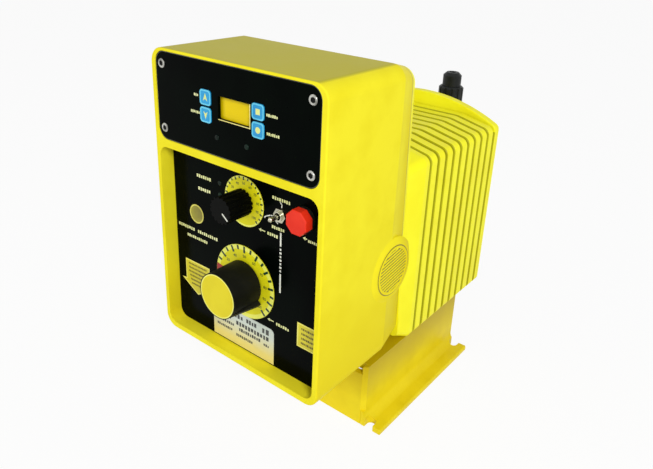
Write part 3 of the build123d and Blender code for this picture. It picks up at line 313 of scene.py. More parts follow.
def mesh_piece(name, build, material, body):
    """A piece from a function that fills a bmesh, with its finish, riding on a CAD body."""
    shape = bmesh.new()
    build(shape)
    bmesh.ops.recalc_face_normals(shape, faces=shape.faces)
    mesh = bpy.data.meshes.new(name)
    shape.to_mesh(mesh)
    shape.free()
    piece = bpy.data.objects.new(name, mesh)
    bpy.context.scene.collection.objects.link(piece)
    mesh.materials.append(material)
    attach(piece, body)
    return piece


def bridge(shape, first, second):
    """Faces all round between two loops of as many corners."""
    for index in range(len(first)):
        following = (index + 1) % len(first)
        shape.faces.new((first[index], first[following], second[following], second[index]))


def plug_ridges(shape):
    """Flat-topped ridges across the plug's face, cut to its knurled circle."""
    reach = plug_radius - plug_rim
    along = Vector((0, cos(plug_ridge_slant), sin(plug_ridge_slant)))
    across = Vector((0, -sin(plug_ridge_slant), cos(plug_ridge_slant)))
    centre = Vector((plug_high.x, plug_middle.y, plug_middle.z))
    count = int(reach / plug_ridge_pitch)
    for index in range(-count, count + 1):
        offset = index * plug_ridge_pitch
        half = (reach ** 2 - offset ** 2) ** 0.5
        ends = []
        for end in (-half, half):
            foot = centre + across * offset + along * end
            top = Vector((plug_ridge_rise, 0, 0))
            flat = across * plug_ridge_half * 0.6
            ends.append([
                shape.verts.new(foot - across * plug_ridge_half),
                shape.verts.new(foot - flat + top),
                shape.verts.new(foot + flat + top),
                shape.verts.new(foot + across * plug_ridge_half),
            ])
        bridge(shape, *ends)
        shape.faces.new(ends[0])
        shape.faces.new(ends[1])


mesh_piece("side_plug_knurl", plug_ridges, hood_enamel, "casing")


def plug_ring(shape, *profile):
    """A ring about the plug's axis with four corners, each a radius and a height off its face."""
    steps = 64
    rings = []
    for radius, rise in profile:
        rings.append([
            shape.verts.new((
                plug_high.x + rise,
                plug_middle.y + radius * cos(2 * pi * step / steps),
                plug_middle.z + radius * sin(2 * pi * step / steps),
            )) for step in range(steps)
        ])
    for first, second in zip(rings, rings[1:] + rings[:1]):
        bridge(shape, first, second)


def plug_band(shape):
    """The plain rim round the knurling."""
    plug_ring(shape, (plug_radius, 0), (plug_radius, plug_ridge_rise),
              (plug_radius - plug_rim * 0.8, plug_ridge_rise), (plug_radius - plug_rim * 0.9, 0))


def plug_gap(shape):
    """Painted shadow: a dark ring in the gap between plug and boss."""
    outer = plug_radius + plug_gap_width
    plug_ring(shape, (outer, 0), (outer, plug_gap_rise), (plug_radius, plug_gap_rise), (plug_radius, 0))


mesh_piece("side_plug_rim", plug_band, hood_enamel, "casing")
mesh_piece("side_plug_shadow_ring", plug_gap, plug_valley_shade, "casing")

# ---------------------------------------------------------------- display plate
# The upper plate is a black printed polyester laminate on a stiff backing, let into the
# hood. Small pale legends stand beside the keys, and an amber window is set in the middle.
laminate = finish_material(
    "laminate", light=(9, 15, 11), dark=(6, 10, 8), rough=0.2, grain=300, bump=0.04, sheen=0.02)
wear("display_panel", "control_panel", material=laminate)
legend_ink = finish_material(
    "legend_ink", light=(238, 240, 178), dark=(222, 226, 150), rough=0.45, grain=900, bump=0.05)
ink_rise = 0.08 * mm
display_low, display_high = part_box("display_panel")
display_face = display_low.y


def flat_print(outlines, face, rise=ink_rise):
    """Fills a bmesh with thin raised prints facing -Y, from lists of (x, z) points in metres."""
    def build(shape):
        for outline in outlines:
            front = [shape.verts.new((x, face - rise, z)) for x, z in outline]
            back = [shape.verts.new((x, face, z)) for x, z in outline]
            shape.faces.new(front)
            shape.faces.new(back[::-1])
            bridge(shape, front, back)
    return build


def oblong(x, z, width, height, tilt=0.0):
    """Rectangle about a point; x is from the pump's middle and z from the hood's underside, in mm."""
    points = []
    for side, end in ((-1, -1), (1, -1), (1, 1), (-1, 1)):
        across, up = side * width / 2, end * height / 2
        points.append((
            (x + across * cos(tilt) - up * sin(tilt)) * mm,
            hood_low.z + (z + across * sin(tilt) + up * cos(tilt)) * mm,
        ))
    return points


def legend(left, right, z, height=1.9):
    """A legend reduced to a row of blank blocks, as wide as short words would be."""
    count = max(2, round((right - left) / (height * 0.86)))
    pitch = (right - left) / count
    blocks = []
    for index in range(count):
        swing = sin(2.4 * index + left)
        width = pitch * (0.66 + 0.14 * swing)
        tall = height * (0.92 - 0.12 * sin(4.1 * index))
        blocks.append(oblong(left + (index + 0.5) * pitch, z + (height - tall) * swing / 2, width, tall))
    return blocks


display_prints = (
    legend(-36.0, -31.6, 202.3) + legend(-40.0, -30.4, 190.3)
    + legend(31.0, 41.0, 201.7) + legend(31.4, 42.4, 189.7)
)
mesh_piece("display_legends", flat_print(display_prints, display_face), legend_ink, "casing")


def rounded_outline(width, height, corner, steps=6):
    """Points round a rounded rectangle about the origin, in mm."""
    points = []
    for turn, (side, end) in enumerate(((1, 1), (-1, 1), (-1, -1), (1, -1))):
        for step in range(steps + 1):
            angle = radians(90) * (turn + step / steps)
            points.append((
                side * (width / 2 - corner) + corner * cos(angle),
                end * (height / 2 - corner) + corner * sin(angle),
            ))
    return points


def framed(outer, inner, centre, face, rise):
    """Fills a bmesh with a raised band between two outlines of as many points."""
    def build(shape):
        rings = []
        for outline, height in ((outer, 0.0), (outer, rise), (inner, rise), (inner, 0.0)):
            rings.append([
                shape.verts.new((centre[0] + x * mm, face - height, centre[1] + z * mm)) for x, z in outline
            ])
        for first, second in zip(rings, rings[1:] + rings[:1]):
            bridge(shape, first, second)
    return build


# Painted highlight: a thin grey band just inside the display plate's edge, where its bevel catches the
# light.
plate_highlight = finish_material(
    "plate_highlight", light=(96, 100, 84), dark=(34, 38, 32), rough=0.35, grain=260, bump=0.1)
display_width = (display_high.x - display_low.x) / mm
display_height = (display_high.z - display_low.z) / mm
display_corner = 8.8
display_centre = (0.0, (display_low.z + display_high.z) / 2)
edge_highlight_band = framed(
    rounded_outline(display_width - 0.4, display_height - 0.4, display_corner),
    rounded_outline(display_width - 1.1, display_height - 1.1, display_corner - 0.3),
    display_centre, display_face, ink_rise)
mesh_piece("display_edge_highlight", edge_highlight_band, plate_highlight, "casing")

# ---------------------------------------------------------------- amber window
# A tinted window lies behind the cut-out, and a pale line is printed along two of its
# edges. The display behind it is off, so the window glows only with the light on it.


def amber_window():
    """Amber plastic with painted shade towards its left edge, where the cut-out's left wall shadows it."""
    material = finish_material(
        "amber_window", light=(248, 220, 20), dark=(234, 204, 12),
        rough=0.16, grain=120, bump=0.02, sheen=0.12)
    paint, place = painted(material)
    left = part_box("display_lens")[0].x
    shade = ramp(material, place["X"], left, left + window_shade_reach, To_Min=window_shade)
    return repainted(material, dimmed(material, paint, shade))


window_shade = 0.45
window_shade_reach = 6 * mm
wear("display_lens", material=amber_window())
window_line = finish_material(
    "window_line", light=(246, 236, 150), dark=(236, 222, 124), rough=0.4, grain=900, bump=0.05)
window_edges = [oblong(16.95, 197.4, 0.7, 16.4), oblong(2.2, 189.6, 28.8, 0.6)]
mesh_piece("window_lines", flat_print(window_edges, display_face), window_line, "casing")

# ---------------------------------------------------------------- keys
# Four moulded silicone keys come up through the plate. Each is bright blue with a paler
# raised rim, and has a pale sign on it: up, down, a square and a disc.
key_blue = finish_material(
    "key_blue", light=(32, 158, 214), dark=(22, 142, 200), rough=0.42, grain=700, bump=0.15)
key_rim_blue = finish_material(
    "key_rim_blue", light=(104, 206, 236), dark=(86, 192, 226), rough=0.4, grain=700, bump=0.15)
key_sign = finish_material(
    "key_sign", light=(232, 240, 150), dark=(218, 228, 128), rough=0.4, grain=900, bump=0.05)
key_rim_width = 1.1
key_corner = 2.2
key_signs = {
    "key_up": [(-2.0, -2.4), (0, -0.9), (2.0, -2.4), (0, 3.0)],
    "key_down": [(-2.0, 2.4), (0, 0.9), (2.0, 2.4), (0, -3.0)],
    "key_mode": [(-1.8, -1.9), (1.8, -1.9), (1.8, 1.9), (-1.8, 1.9)],
    "key_enter": [(2.1 * cos(pi * step / 12), 2.1 * sin(pi * step / 12)) for step in range(24)],
}
key_bodies = {
    "key_up": "up_key", "key_down": "down_key", "key_mode": "mode_key", "key_enter": "enter_key",
}
for key, sign in key_signs.items():
    wear(key, material=key_blue)
    low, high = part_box(key)
    width, height = (high.x - low.x) / mm, (high.z - low.z) / mm
    centre = ((low.x + high.x) / 2, (low.z + high.z) / 2)
    outer = rounded_outline(width - 0.1, height - 0.1, key_corner)
    inner = rounded_outline(width - 2 * key_rim_width, height - 2 * key_rim_width, key_corner - 0.8)
    rim = framed(outer, inner, centre, low.y, 0.15 * mm)
    mesh_piece(key + "_rim", rim, key_rim_blue, key_bodies[key])
    placed = [(centre[0] + x * mm, centre[1] + z * mm) for x, z in sign]
    mesh_piece(key + "_sign", flat_print([placed], low.y), key_sign, key_bodies[key])

# ---------------------------------------------------------------- lamps and display screws
# Two small dark lamps sit low on the plate and two more beside the speed legend. Four
# low socket screws hold the plate and two more the hood's rear, their rims worn bright.
lamp_dark = finish_material(
    "lamp_dark", light=(26, 42, 34), dark=(18, 28, 24), rough=0.25, grain=600, bump=0.05, sheen=0.1)
wear("indicator_lamps", material=lamp_dark)
rim_steel = finish_material(
    "rim_steel", light=(206, 206, 198), dark=(130, 130, 122), rough=0.35, grain=1400, bump=0.4, metal=1.0)
screw_radius = 3.3
screw_height = 1.1
rear_screw_height = 2.2
socket_flats = 3.4
screw_side = 7.0 * mm
screw_end = 8.9 * mm
plate_gap = 0.15 * mm
hood_rear_lean = radians(3.9)
rear_out = Vector((0, cos(hood_rear_lean), sin(hood_rear_lean)))
rear_screws_behind = 60 * mm


def circle_outline(radius, steps=36):
    """Points round a circle about the origin, in mm."""
    angles = [2 * pi * step / steps for step in range(steps)]
    return [(radius * cos(angle), radius * sin(angle)) for angle in angles]


def hexagon_outline(flats, steps=36):
    """As many points as a circle's, but on a hexagon of that size across its flats."""
    points = []
    for step in range(steps):
        angle = 2 * pi * step / steps
        reach = flats / 2 / cos((angle + pi / 6) % (pi / 3) - pi / 6)
        points.append((reach * cos(angle), reach * sin(angle)))
    return points


def screw_heads(seats):
    """Low bevelled heads with hexagon sockets; each seat is a matrix whose own -Y points out."""
    def build(shape):
        for seat in seats:
            rings = []
            for outline, height in (
                (circle_outline(screw_radius), 0.0),
                (circle_outline(screw_radius), screw_height * 0.6),
                (circle_outline(screw_radius - 0.5), screw_height),
                (hexagon_outline(socket_flats + 0.5), screw_height),
                (hexagon_outline(socket_flats), screw_height * 0.8),
                (hexagon_outline(socket_flats), 0.05),
            ):
                rings.append([shape.verts.new(seat @ Vector((x, -height, z)) * mm) for x, z in outline])
            for first, second in zip(rings, rings[1:]):
                bridge(shape, first, second)
            shape.faces.new(rings[-1])
    return build


front_seats = [
    Matrix.Translation(Vector((x, display_face, z)) / mm)
    for x in (display_low.x - plate_gap + screw_side, display_high.x + plate_gap - screw_side)
    for z in (display_low.z - plate_gap + screw_end, display_high.z + plate_gap - screw_end)
]
screw_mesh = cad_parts["cover_screws"].data
rear_points = [
    vertex.co for vertex in screw_mesh.vertices if vertex.co.y > display_face + rear_screws_behind
]
rear_seats = []
for side in (-1, 1):
    points = [point for point in rear_points if point.x * side > 0]
    face = max(point.dot(rear_out) for point in points)
    head = [point for point in points if point.dot(rear_out) > face - 0.1 * mm]
    middle = sum(head, Vector()) / len(head) - rear_out * rear_screw_height * mm
    turned = Matrix.Rotation(pi, 4, "Z") @ Matrix.Rotation(-hood_rear_lean, 4, "X")
    rear_seats.append(Matrix.Translation(middle / mm) @ turned)
screws = mesh_piece("cover_screw_heads", screw_heads(front_seats + rear_seats), rim_steel, "casing")
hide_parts("cover_screws")
# The sockets' shade is painted, as dark hexagons set on their floors.
socket_shade = finish_material(
    "socket_shade", light=(26, 26, 24), dark=(12, 12, 11), rough=0.6, grain=1400, bump=0.2, sheen=0.1)


def screw_sockets(shape):
    """Painted shade: dark hexagons over the floor of each socket, where shadow fills it."""
    for seat in front_seats + rear_seats:
        for height, shrink in ((0.1, 0.1), (0.7, 0.6)):
            shape.faces.new([
                shape.verts.new(seat @ Vector((x, -height, z)) * mm)
                for x, z in hexagon_outline(socket_flats - shrink)
            ])


mesh_piece("cover_screw_socket_shade", screw_sockets, socket_shade, "casing")

# ---------------------------------------------------------------- control panel prints
# The lower panel is a second printed laminate, deep in the hood's recess. Legends, a
# switch diagram and a dotted divider are screened on it in pale ink.
panel_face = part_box("control_panel")[0].y
line_ink = finish_material(
    "line_ink", light=(236, 238, 224), dark=(220, 222, 206), rough=0.45, grain=900, bump=0.05)
stroke_width = 0.8


def stroke(points):
    """A drawn line of even width through (x, z) points in mm, as one piece for each length."""
    pieces = []
    for (x0, z0), (x1, z1) in zip(points, points[1:]):
        length = hypot(x1 - x0, z1 - z0)
        direction = Vector((x1 - x0, z1 - z0)).normalized()
        tilt = Vector((1, 0)).angle_signed(direction) * -1
        pieces.append(oblong((x0 + x1) / 2, (z0 + z1) / 2, length + stroke_width / 2, stroke_width, tilt))
    return pieces


def arrow_left(x, z, length):
    """A small arrow that points to the left, its tip at x."""
    head = [(x * mm, hood_low.z + z * mm)]
    head += [((x + 2.2) * mm, hood_low.z + (z + end * 1.3) * mm) for end in (-1, 1)]
    return [head, oblong(x + 2.0 + (length - 2.0) / 2, z, length - 2.0, 0.8)]


panel_prints = (
    legend(-49.6, -33.9, 137.0, 2.6) + legend(-48.4, -34.9, 126.9, 2.6)
    + legend(-73.0, -54.0, 90.3, 2.6) + legend(-51.0, -28.6, 90.3, 2.6) + legend(-63.4, -39.8, 83.8, 2.4)
    + legend(26.5, 42.9, 141.8, 2.4) + legend(26.2, 38.0, 120.0, 2.4)
    + arrow_left(14.2, 114.0, 6.0) + legend(22.0, 32.2, 113.6, 2.4)
    + arrow_left(54.2, 121.0, 3.6) + legend(58.6, 66.4, 120.0, 2.0)
    + arrow_left(23.0, 44.3, 6.0) + legend(31.0, 44.0, 43.6, 2.4)
)
mesh_piece("panel_legends", flat_print(panel_prints, panel_face), legend_ink, "casing")
divider_x = 34.7
divider = [oblong(divider_x, 112.6, 1.3, 10.2), oblong(divider_x, 78.4, 1.3, 15.2)]
dash_count = 7
dash_top = 105.0
dash_pitch = 2.8
for index in range(dash_count):
    divider.append(oblong(divider_x, dash_top - index * dash_pitch, 1.8 if index % 2 else 1.3, 1.5))
switch_marks = (
    stroke([(34.0, 140.0), (35.4, 138.6), (35.2, 136.6)])
    + stroke([(19.4, 124.6), (21.6, 126.4), (25.0, 127.8), (28.6, 128.4)])
    + stroke([(29.0, 126.8), (29.9, 125.0), (31.8, 123.8)])
)
mesh_piece("panel_lines", flat_print(divider + switch_marks, panel_face), line_ink, "casing")

# ---------------------------------------------------------------- round label, left
# A plain round foil label with a pale rim is stuck on at the left, above two legends.
# It is bare.
foil_gold = finish_material(
    "foil_gold", light=(152, 144, 40), dark=(124, 116, 28), rough=0.35, grain=900, bump=0.2)
foil_rim = finish_material(
    "foil_rim", light=(222, 214, 96), dark=(206, 197, 78), rough=0.35, grain=900, bump=0.1)
label_centre = (-51.2 * mm, hood_low.z + 104.6 * mm)
label_radius = 7.7
label_edge = 1.1
label_inner = circle_outline(label_radius - label_edge)
label_disc = [(label_centre[0] + x * mm, label_centre[1] + z * mm) for x, z in label_inner]
mesh_piece("round_label", flat_print([label_disc], panel_face), foil_gold, "casing")
label_band = framed(circle_outline(label_radius), label_inner, label_centre, panel_face, ink_rise)
mesh_piece("round_label_rim", label_band, foil_rim, "casing")

# ---------------------------------------------------------------- yellow labels
# Two yellow labels are stuck on the panel: a broad arrow that points down beside the big
# knob and a square one at the right edge. Dark rules stand where their text would be.
label_yellow = finish_material(
    "label_yellow", light=(218, 206, 44), dark=(202, 190, 34), rough=0.42, grain=700, bump=0.08)
label_edge_yellow = finish_material(
    "label_edge_yellow", light=(242, 234, 110), dark=(230, 220, 92), rough=0.42, grain=700, bump=0.05)
rule_ink = finish_material(
    "rule_ink", light=(110, 98, 18), dark=(70, 62, 12), rough=0.5, grain=900, bump=0.05)
label_rise = 0.12 * mm


def at_hood(points):
    """Points in mm from the hood's middle line and underside, as metres in the frame."""
    return [(x * mm, hood_low.z + z * mm) for x, z in points]


arrow_edge = [
    (-66.6, 61.6), (-66.6, 43.6), (-71.6, 43.0), (-53.4, 32.4), (-34.6, 42.6), (-38.8, 43.4), (-38.8, 61.6),
]
arrow_face = [
    (-65.5, 60.5), (-65.5, 42.8), (-68.2, 42.3), (-53.4, 33.8), (-38.0, 42.0), (-39.9, 42.4), (-39.9, 60.5),
]
mesh_piece("arrow_label_edge", flat_print([at_hood(arrow_edge)], panel_face), label_edge_yellow, "casing")
mesh_piece("arrow_label", flat_print([at_hood(arrow_face)], panel_face, label_rise), label_yellow, "casing")
arrow_rule_count = 6
arrow_rule_middle = -52.7
arrow_rules = []
for index in range(arrow_rule_count):
    row = 58.4 - index * 3.5
    half = 10.6 if index < 3 else 9.4 - (index - 3) * 0.9
    arrow_rules += legend(arrow_rule_middle - half, arrow_rule_middle + half, row, 1.5)
mesh_piece("arrow_label_rules", flat_print(arrow_rules, panel_face - label_rise), rule_ink, "casing")
square_edge = [(51.4, 34.6), (70.6, 34.6), (70.6, 54.4), (51.4, 54.4)]
square_face = [(52.5, 35.7), (69.5, 35.7), (69.5, 53.3), (52.5, 53.3)]
mesh_piece("square_label_edge", flat_print([at_hood(square_edge)], panel_face), label_edge_yellow, "casing")
square_print = flat_print([at_hood(square_face)], panel_face, label_rise)
mesh_piece("square_label", square_print, label_yellow, "casing")
square_rule_count = 4
square_rules = []
for index in range(square_rule_count):
    square_rules += legend(55.0, 67.4 - index % 2, 50.4 - index * 3.9, 1.7)
mesh_piece("square_label_rules", flat_print(square_rules, panel_face - label_rise), rule_ink, "casing")

# ---------------------------------------------------------------- rating plate
# A thin silver plate with one rounded top corner stands on the recess's lower edge, half
# behind the big knob. Rows of blank dark rules stand for its print.
plate_silver = finish_material(
    "plate_silver", light=(206, 216, 206), dark=(194, 204, 192), rough=0.34, grain=600, bump=0.1, metal=0.1)
plate_ink = finish_material(
    "plate_ink", light=(64, 66, 64), dark=(34, 36, 38), rough=0.5, grain=900, bump=0.05)
plate_left, plate_right = -34.8, 29.4
plate_bottom, plate_top = 6.4, 36.6
plate_corner = 4.0
plate_rise = 0.3 * mm
plate_warm = (238, 222, 140)


def warm_below(material):
    """Lets the silver turn to pale yellow towards the plate's lower edge."""
    paint, place = painted(material)
    warm_from = hood_low.z + (plate_top - 7) * mm
    warm_full = hood_low.z + (plate_bottom + 5) * mm
    share = ramp(material, place["Z"], warm_from, warm_full)
    return repainted(material, tint(material, share, paint, plate_warm))


corner_points = [
    (plate_right - plate_corner + plate_corner * cos(pi * step / 16),
     plate_top - plate_corner + plate_corner * sin(pi * step / 16)) for step in range(9)
]
plate_outline = at_hood(
    [(plate_left, plate_bottom), (plate_right, plate_bottom)] + corner_points + [(plate_left, plate_top)])
plate_print = flat_print([plate_outline], panel_face, plate_rise)
mesh_piece("rating_plate", plate_print, warm_below(plate_silver), "casing")
plate_rules = (
    legend(-12.0, -2.0, 32.4, 3.6) + legend(1.0, 12.0, 32.4, 3.6) + legend(17.0, 25.0, 32.0, 4.4)
    + legend(-31.0, -15.0, 28.0, 3.0) + legend(-10.0, 24.6, 26.2, 3.6)
    + legend(-31.4, -12.0, 22.6, 2.4) + legend(-7.0, 16.0, 21.4, 2.8) + legend(19.0, 25.0, 20.0, 2.0)
    + legend(-31.0, -14.0, 17.4, 2.2) + legend(-10.0, 8.0, 15.4, 2.4)
)
mesh_piece("rating_plate_rules", flat_print(plate_rules, panel_face - plate_rise), plate_ink, "casing")

# ---------------------------------------------------------------- dials
# Both dials are yellow printed discs under their knobs: ticks round the edge, numerals
# inside. The big one has a red sector where the stroke would be too short.
dial_yellow = finish_material(
    "dial_yellow", light=(232, 226, 34), dark=(220, 212, 26), rough=0.35, grain=500, bump=0.08, sheen=0.15)
dial_edge_yellow = finish_material(
    "dial_edge_yellow", light=(244, 246, 104), dark=(236, 238, 86), rough=0.35, grain=500, bump=0.05)
tick_ink = finish_material(
    "tick_ink", light=(18, 60, 34), dark=(10, 42, 24), rough=0.45, grain=900, bump=0.05)
dial_red = finish_material(
    "dial_red", light=(172, 26, 16), dark=(146, 16, 10), rough=0.4, grain=900, bump=0.05)
dial_start, dial_sweep = 225.0, 270.0
wear("stroke_dial", "speed_dial", material=dial_yellow)


def round_face(node):
    """Centre (x, z) and front face in metres, and radius in mm, of a round piece."""
    low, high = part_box(node)
    return ((low.x + high.x) / 2, (low.z + high.z) / 2), low.y, (high.x - low.x) / 2 / mm


def radial_mark(centre, angle, inner, outer, width):
    """A bar that points out from a dial's centre."""
    direction = Vector((cos(radians(angle)), sin(radians(angle))))
    across = Vector((-direction.y, direction.x)) * width / 2
    points = (direction * inner - across, direction * outer - across,
              direction * outer + across, direction * inner + across)
    return [(centre[0] + point.x * mm, centre[1] + point.y * mm) for point in points]


def ring_sector(centre, start, end, inner, outer, steps=12):
    """Part of a ring between two angles."""
    points = []
    for radius, order in ((outer, range(steps + 1)), (inner, range(steps, -1, -1))):
        for step in order:
            angle = radians(start + (end - start) * step / steps)
            points.append((centre[0] + radius * cos(angle) * mm, centre[1] + radius * sin(angle) * mm))
    return points


def numeral(text, centre, angle, radius, size, face, name):
    """A numeral on a dial, upright to the reader, as a thin mesh."""
    letter = bpy.data.curves.new(name, "FONT")
    letter.body = text
    letter.size = size * mm
    letter.align_x = "CENTER"
    letter.align_y = "CENTER"
    letter.resolution_u = 2
    letter.extrude = ink_rise / 2
    carrier = bpy.data.objects.new(name + "_curve", letter)
    bpy.context.scene.collection.objects.link(carrier)
    bpy.context.view_layer.update()
    mesh = bpy.data.meshes.new_from_object(carrier.evaluated_get(bpy.context.evaluated_depsgraph_get()))
    bpy.data.objects.remove(carrier)
    x = centre[0] + radius * cos(radians(angle)) * mm
    z = centre[1] + radius * sin(radians(angle)) * mm
    mesh.transform(Matrix.Translation((x, face - ink_rise / 2, z)) @ Matrix.Rotation(radians(90), 4, "X"))
    return mesh


def numerals(name, values, centre, radius, size, face, material):
    """All the numerals of one dial in one piece."""
    shape = bmesh.new()
    for value in values:
        angle = dial_start - dial_sweep * value / 100
        shape.from_mesh(numeral(str(value), centre, angle, radius, size, face, name))
    mesh = bpy.data.meshes.new(name)
    shape.to_mesh(mesh)
    shape.free()
    mesh.materials.clear()
    mesh.materials.append(material)
    piece = bpy.data.objects.new(name, mesh)
    bpy.context.scene.collection.objects.link(piece)
    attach(piece, "casing")


def print_dial(node, band, tick_long, tick_short, tick_width, number_radius, number_size, values):
    """Ticks, numerals and a pale edge for one dial."""
    centre, face, radius = round_face(node)
    ticks = []
    for step in range(21):
        angle = dial_start - dial_sweep * step / 20
        length = tick_short if step % 2 else tick_long
        ticks.append(radial_mark(centre, angle, radius - 0.3 - length, radius - 0.3, tick_width))
    mesh_piece(node + "_ticks", flat_print(ticks, face, ink_rise * 2), tick_ink, "casing")
    edge = framed(circle_outline(radius, 96), circle_outline(radius - band, 96), centre, face, ink_rise)
    mesh_piece(node + "_edge", edge, dial_edge_yellow, "casing")
    numerals(node + "_numerals", values, centre, number_radius, number_size, face, tick_ink)
    return centre, face, radius


print_dial(
    "speed_dial", band=1.3, tick_long=2.3, tick_short=1.5, tick_width=1.15,
    number_radius=13.6, number_size=2.9, values=range(0, 101, 10))
stroke_centre, stroke_face, stroke_radius = print_dial(
    "stroke_dial", band=3.4, tick_long=5.2, tick_short=3.4, tick_width=1.75,
    number_radius=21.0, number_size=3.4, values=range(20, 101, 10))
red_share = 0.21
red_depth = 6.4
red_end = dial_start - dial_sweep * red_share
red = ring_sector(stroke_centre, dial_start, red_end, stroke_radius - red_depth, stroke_radius - 0.2)
mesh_piece("stroke_dial_red", flat_print([red], stroke_face, ink_rise * 2.5), dial_red, "casing")

# ---------------------------------------------------------------- knobs
# Both knobs are moulded in matt black plastic. The big one has a yellow disc let into
# its end and a pointed rib; the fluted one has a white pointer filled into its face.
knob_plastic = finish_material(
    "knob_plastic", light=(29, 30, 26), dark=(18, 19, 16), rough=0.5, grain=420, bump=0.35, sheen=0.12)
cap_yellow = finish_material(
    "cap_yellow", light=(230, 214, 42), dark=(220, 203, 34), rough=0.42, grain=500, bump=0.1, sheen=0.15)
speed_knob_plastic = finish_material(
    "speed_knob_plastic", light=(16, 17, 15), dark=(10, 11, 9), rough=0.42, grain=420, bump=0.3, sheen=0.04)
wear("stroke_knob", material=knob_plastic)
wear("speed_knob", material=speed_knob_plastic)
wear("stroke_shaft", "stroke_stop", "pot_shaft", material=screw_steel)
cap_centre, _, cap_radius = round_face("knob_cap")
cap_highlight_width = 0.8
cap_highlight_colour = (246, 244, 120)


def rimmed_cap(material):
    """Paints a highlight round the cap's edge, as a paler ring where its turned-over edge catches the light.
    """
    paint, place = painted(material)
    across = reckon(material, "SUBTRACT", place["X"], cap_centre[0])
    up = reckon(material, "SUBTRACT", place["Z"], cap_centre[1])
    squares = reckon(
        material, "ADD", reckon(material, "MULTIPLY", across, across), reckon(material, "MULTIPLY", up, up))
    reach = reckon(material, "SQRT", squares)
    inner = (cap_radius - cap_highlight_width) * mm
    rim = ramp(material, reach, inner - 0.1 * mm, inner)
    return repainted(material, tint(material, rim, paint, cap_highlight_colour))


wear("knob_cap", material=rimmed_cap(cap_yellow))
knob_centre, knob_face, knob_radius = round_face("speed_knob")
pointer_angle = -38.0
pointer_start = 2.4
pointer_end = knob_radius - 0.9
pointer_width = 1.1
pointer = [radial_mark(knob_centre, pointer_angle, pointer_start, pointer_end, pointer_width)]
mesh_piece("speed_pointer", flat_print(pointer, knob_face), line_ink, "speed_control")

# ---------------------------------------------------------------- switch and signal socket
# The toggle switch is bright plated, held by a thin nut. The socket beside it is black,
# and a bright red eight-sided cap is pushed on over its mouth.
plated = finish_material(
    "plated", light=(206, 204, 182), dark=(150, 148, 128), rough=0.25, grain=900, bump=0.05, metal=1.0)
red_plastic = finish_material(
    "red_plastic", light=(238, 58, 36), dark=(228, 48, 28), rough=0.3, grain=400, bump=0.08, sheen=0.2)
wear("toggle_body", "toggle_nut", "toggle_lever", material=plated)
wear("signal_socket", material=black_plastic)
wear("connector_cap", material=red_plastic)

# ---------------------------------------------------------------- circuit boards
# Green glass-fibre boards stand on posts behind both panels, out of sight.
board_green = finish_material(
    "board_green", light=(30, 96, 54), dark=(20, 76, 42), rough=0.4, grain=700, bump=0.1)
wear("circuit_boards", material=board_green)

# ---------------------------------------------------------------- floor, light and camera
# A plain white floor and background, a soft lamp from high at the front right, a weak
# broad one from the left, and even light all round.
floor_half = 8.0
floor_paint = (0.9, 0.9, 0.9, 1)
floor_evening = 0.92


def seen_rays(owner):
    """1 for the camera's rays and for those that metal mirrors or glass lets through, else 0."""
    rays = node_to(owner, "ShaderNodeLightPath")
    seen = rays.outputs["Is Camera Ray"]
    for kind in ("Is Glossy Ray", "Is Transmission Ray"):
        seen = reckon(owner, "MAXIMUM", seen, rays.outputs[kind])
    return seen


def white_floor():
    """Matt white, evened out for what looks at it, with the pump's soft shadow kept."""
    material = bpy.data.materials.new("floor")
    material.use_nodes = True
    links = material.node_tree.links
    material.node_tree.nodes.clear()
    paint = node_to(material, "ShaderNodeBsdfDiffuse", Color=floor_paint)
    glow = node_to(material, "ShaderNodeEmission")
    lit = node_to(material, "ShaderNodeMixShader")
    links.new(reckon(material, "MULTIPLY", seen_rays(material), floor_evening), lit.inputs[0])
    links.new(paint.outputs[0], lit.inputs[1])
    links.new(glow.outputs[0], lit.inputs[2])
    output = node_to(material, "ShaderNodeOutputMaterial")
    links.new(lit.outputs[0], output.inputs["Surface"])
    return material


def floor_sheet(shape):
    """Flat square under the foot."""
    corners = [(-1, -1), (1, -1), (1, 1), (-1, 1)]
    shape.faces.new([shape.verts.new((x * floor_half, y * floor_half, 0)) for x, y in corners])


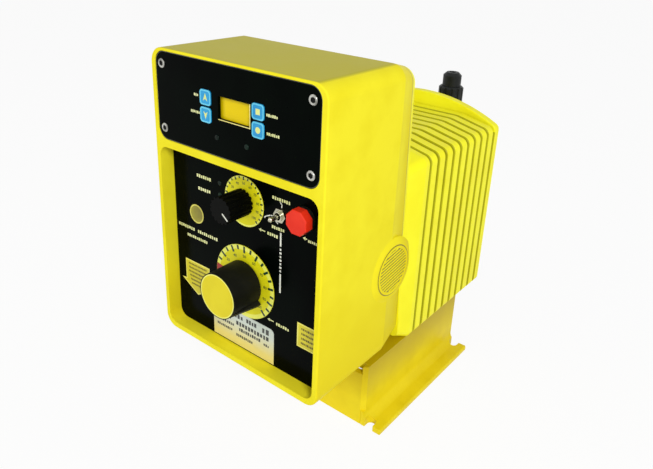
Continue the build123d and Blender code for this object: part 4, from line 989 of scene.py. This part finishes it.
floor_shape = bmesh.new()
floor_sheet(floor_shape)
floor_mesh = bpy.data.meshes.new("floor")
floor_shape.to_mesh(floor_mesh)
floor_shape.free()
floor = bpy.data.objects.new("floor", floor_mesh)
floor_mesh.materials.append(white_floor())
bpy.context.scene.collection.objects.link(floor)
floor.location.z = -0.5 * mm

world = bpy.data.worlds.new("studio")
bpy.context.scene.world = world
world.use_nodes = True
sky = world.node_tree.nodes["Background"]
even_light = 0.42
level = ramp(world, seen_rays(world), 0.0, 1.0, To_Min=even_light)
world.node_tree.links.new(level, sky.inputs["Strength"])
sky.inputs["Color"].default_value = (1, 1, 1, 1)
pump_middle = Vector((0, -0.05, 0.16))


def studio_lamp(name, place, size, power):
    """A square soft lamp that faces the pump."""
    lamp = bpy.data.lights.new(name, "AREA")
    lamp.size = size
    lamp.energy = power
    holder = bpy.data.objects.new(name, lamp)
    bpy.context.scene.collection.objects.link(holder)
    holder.location = place
    aim = pump_middle - Vector(place)
    holder.rotation_euler = aim.to_track_quat("-Z", "Y").to_euler()


studio_lamp("front_lamp", (1.3, -1.05, 1.15), 0.5, 21.0)
studio_lamp("left_lamp", (-0.9, -1.5, 0.7), 0.8, 4.5)

view_place = (0.29269, -0.42012, 0.37624)
view_yaw, view_pitch, view_roll = 0.6544, 0.3849, 0.0439
forward = Vector((-sin(view_yaw) * cos(view_pitch), cos(view_yaw) * cos(view_pitch), -sin(view_pitch)))
level_right = Vector((cos(view_yaw), sin(view_yaw), 0))
level_up = level_right.cross(forward)
right = level_right * cos(view_roll) + level_up * sin(view_roll)
up = level_up * cos(view_roll) - level_right * sin(view_roll)
lens = bpy.data.cameras.new("camera")
lens.lens = 34.99
lens.shift_x = -0.0018
lens.shift_y = -0.0764
lens.clip_start = 0.01
camera = bpy.data.objects.new("camera", lens)
bpy.context.scene.collection.objects.link(camera)
turn = Matrix((right, up, -forward)).transposed()
camera.matrix_world = Matrix.Translation(view_place) @ turn.to_4x4()
bpy.context.scene.camera = camera
bpy.context.scene.view_settings.view_transform = "Standard"
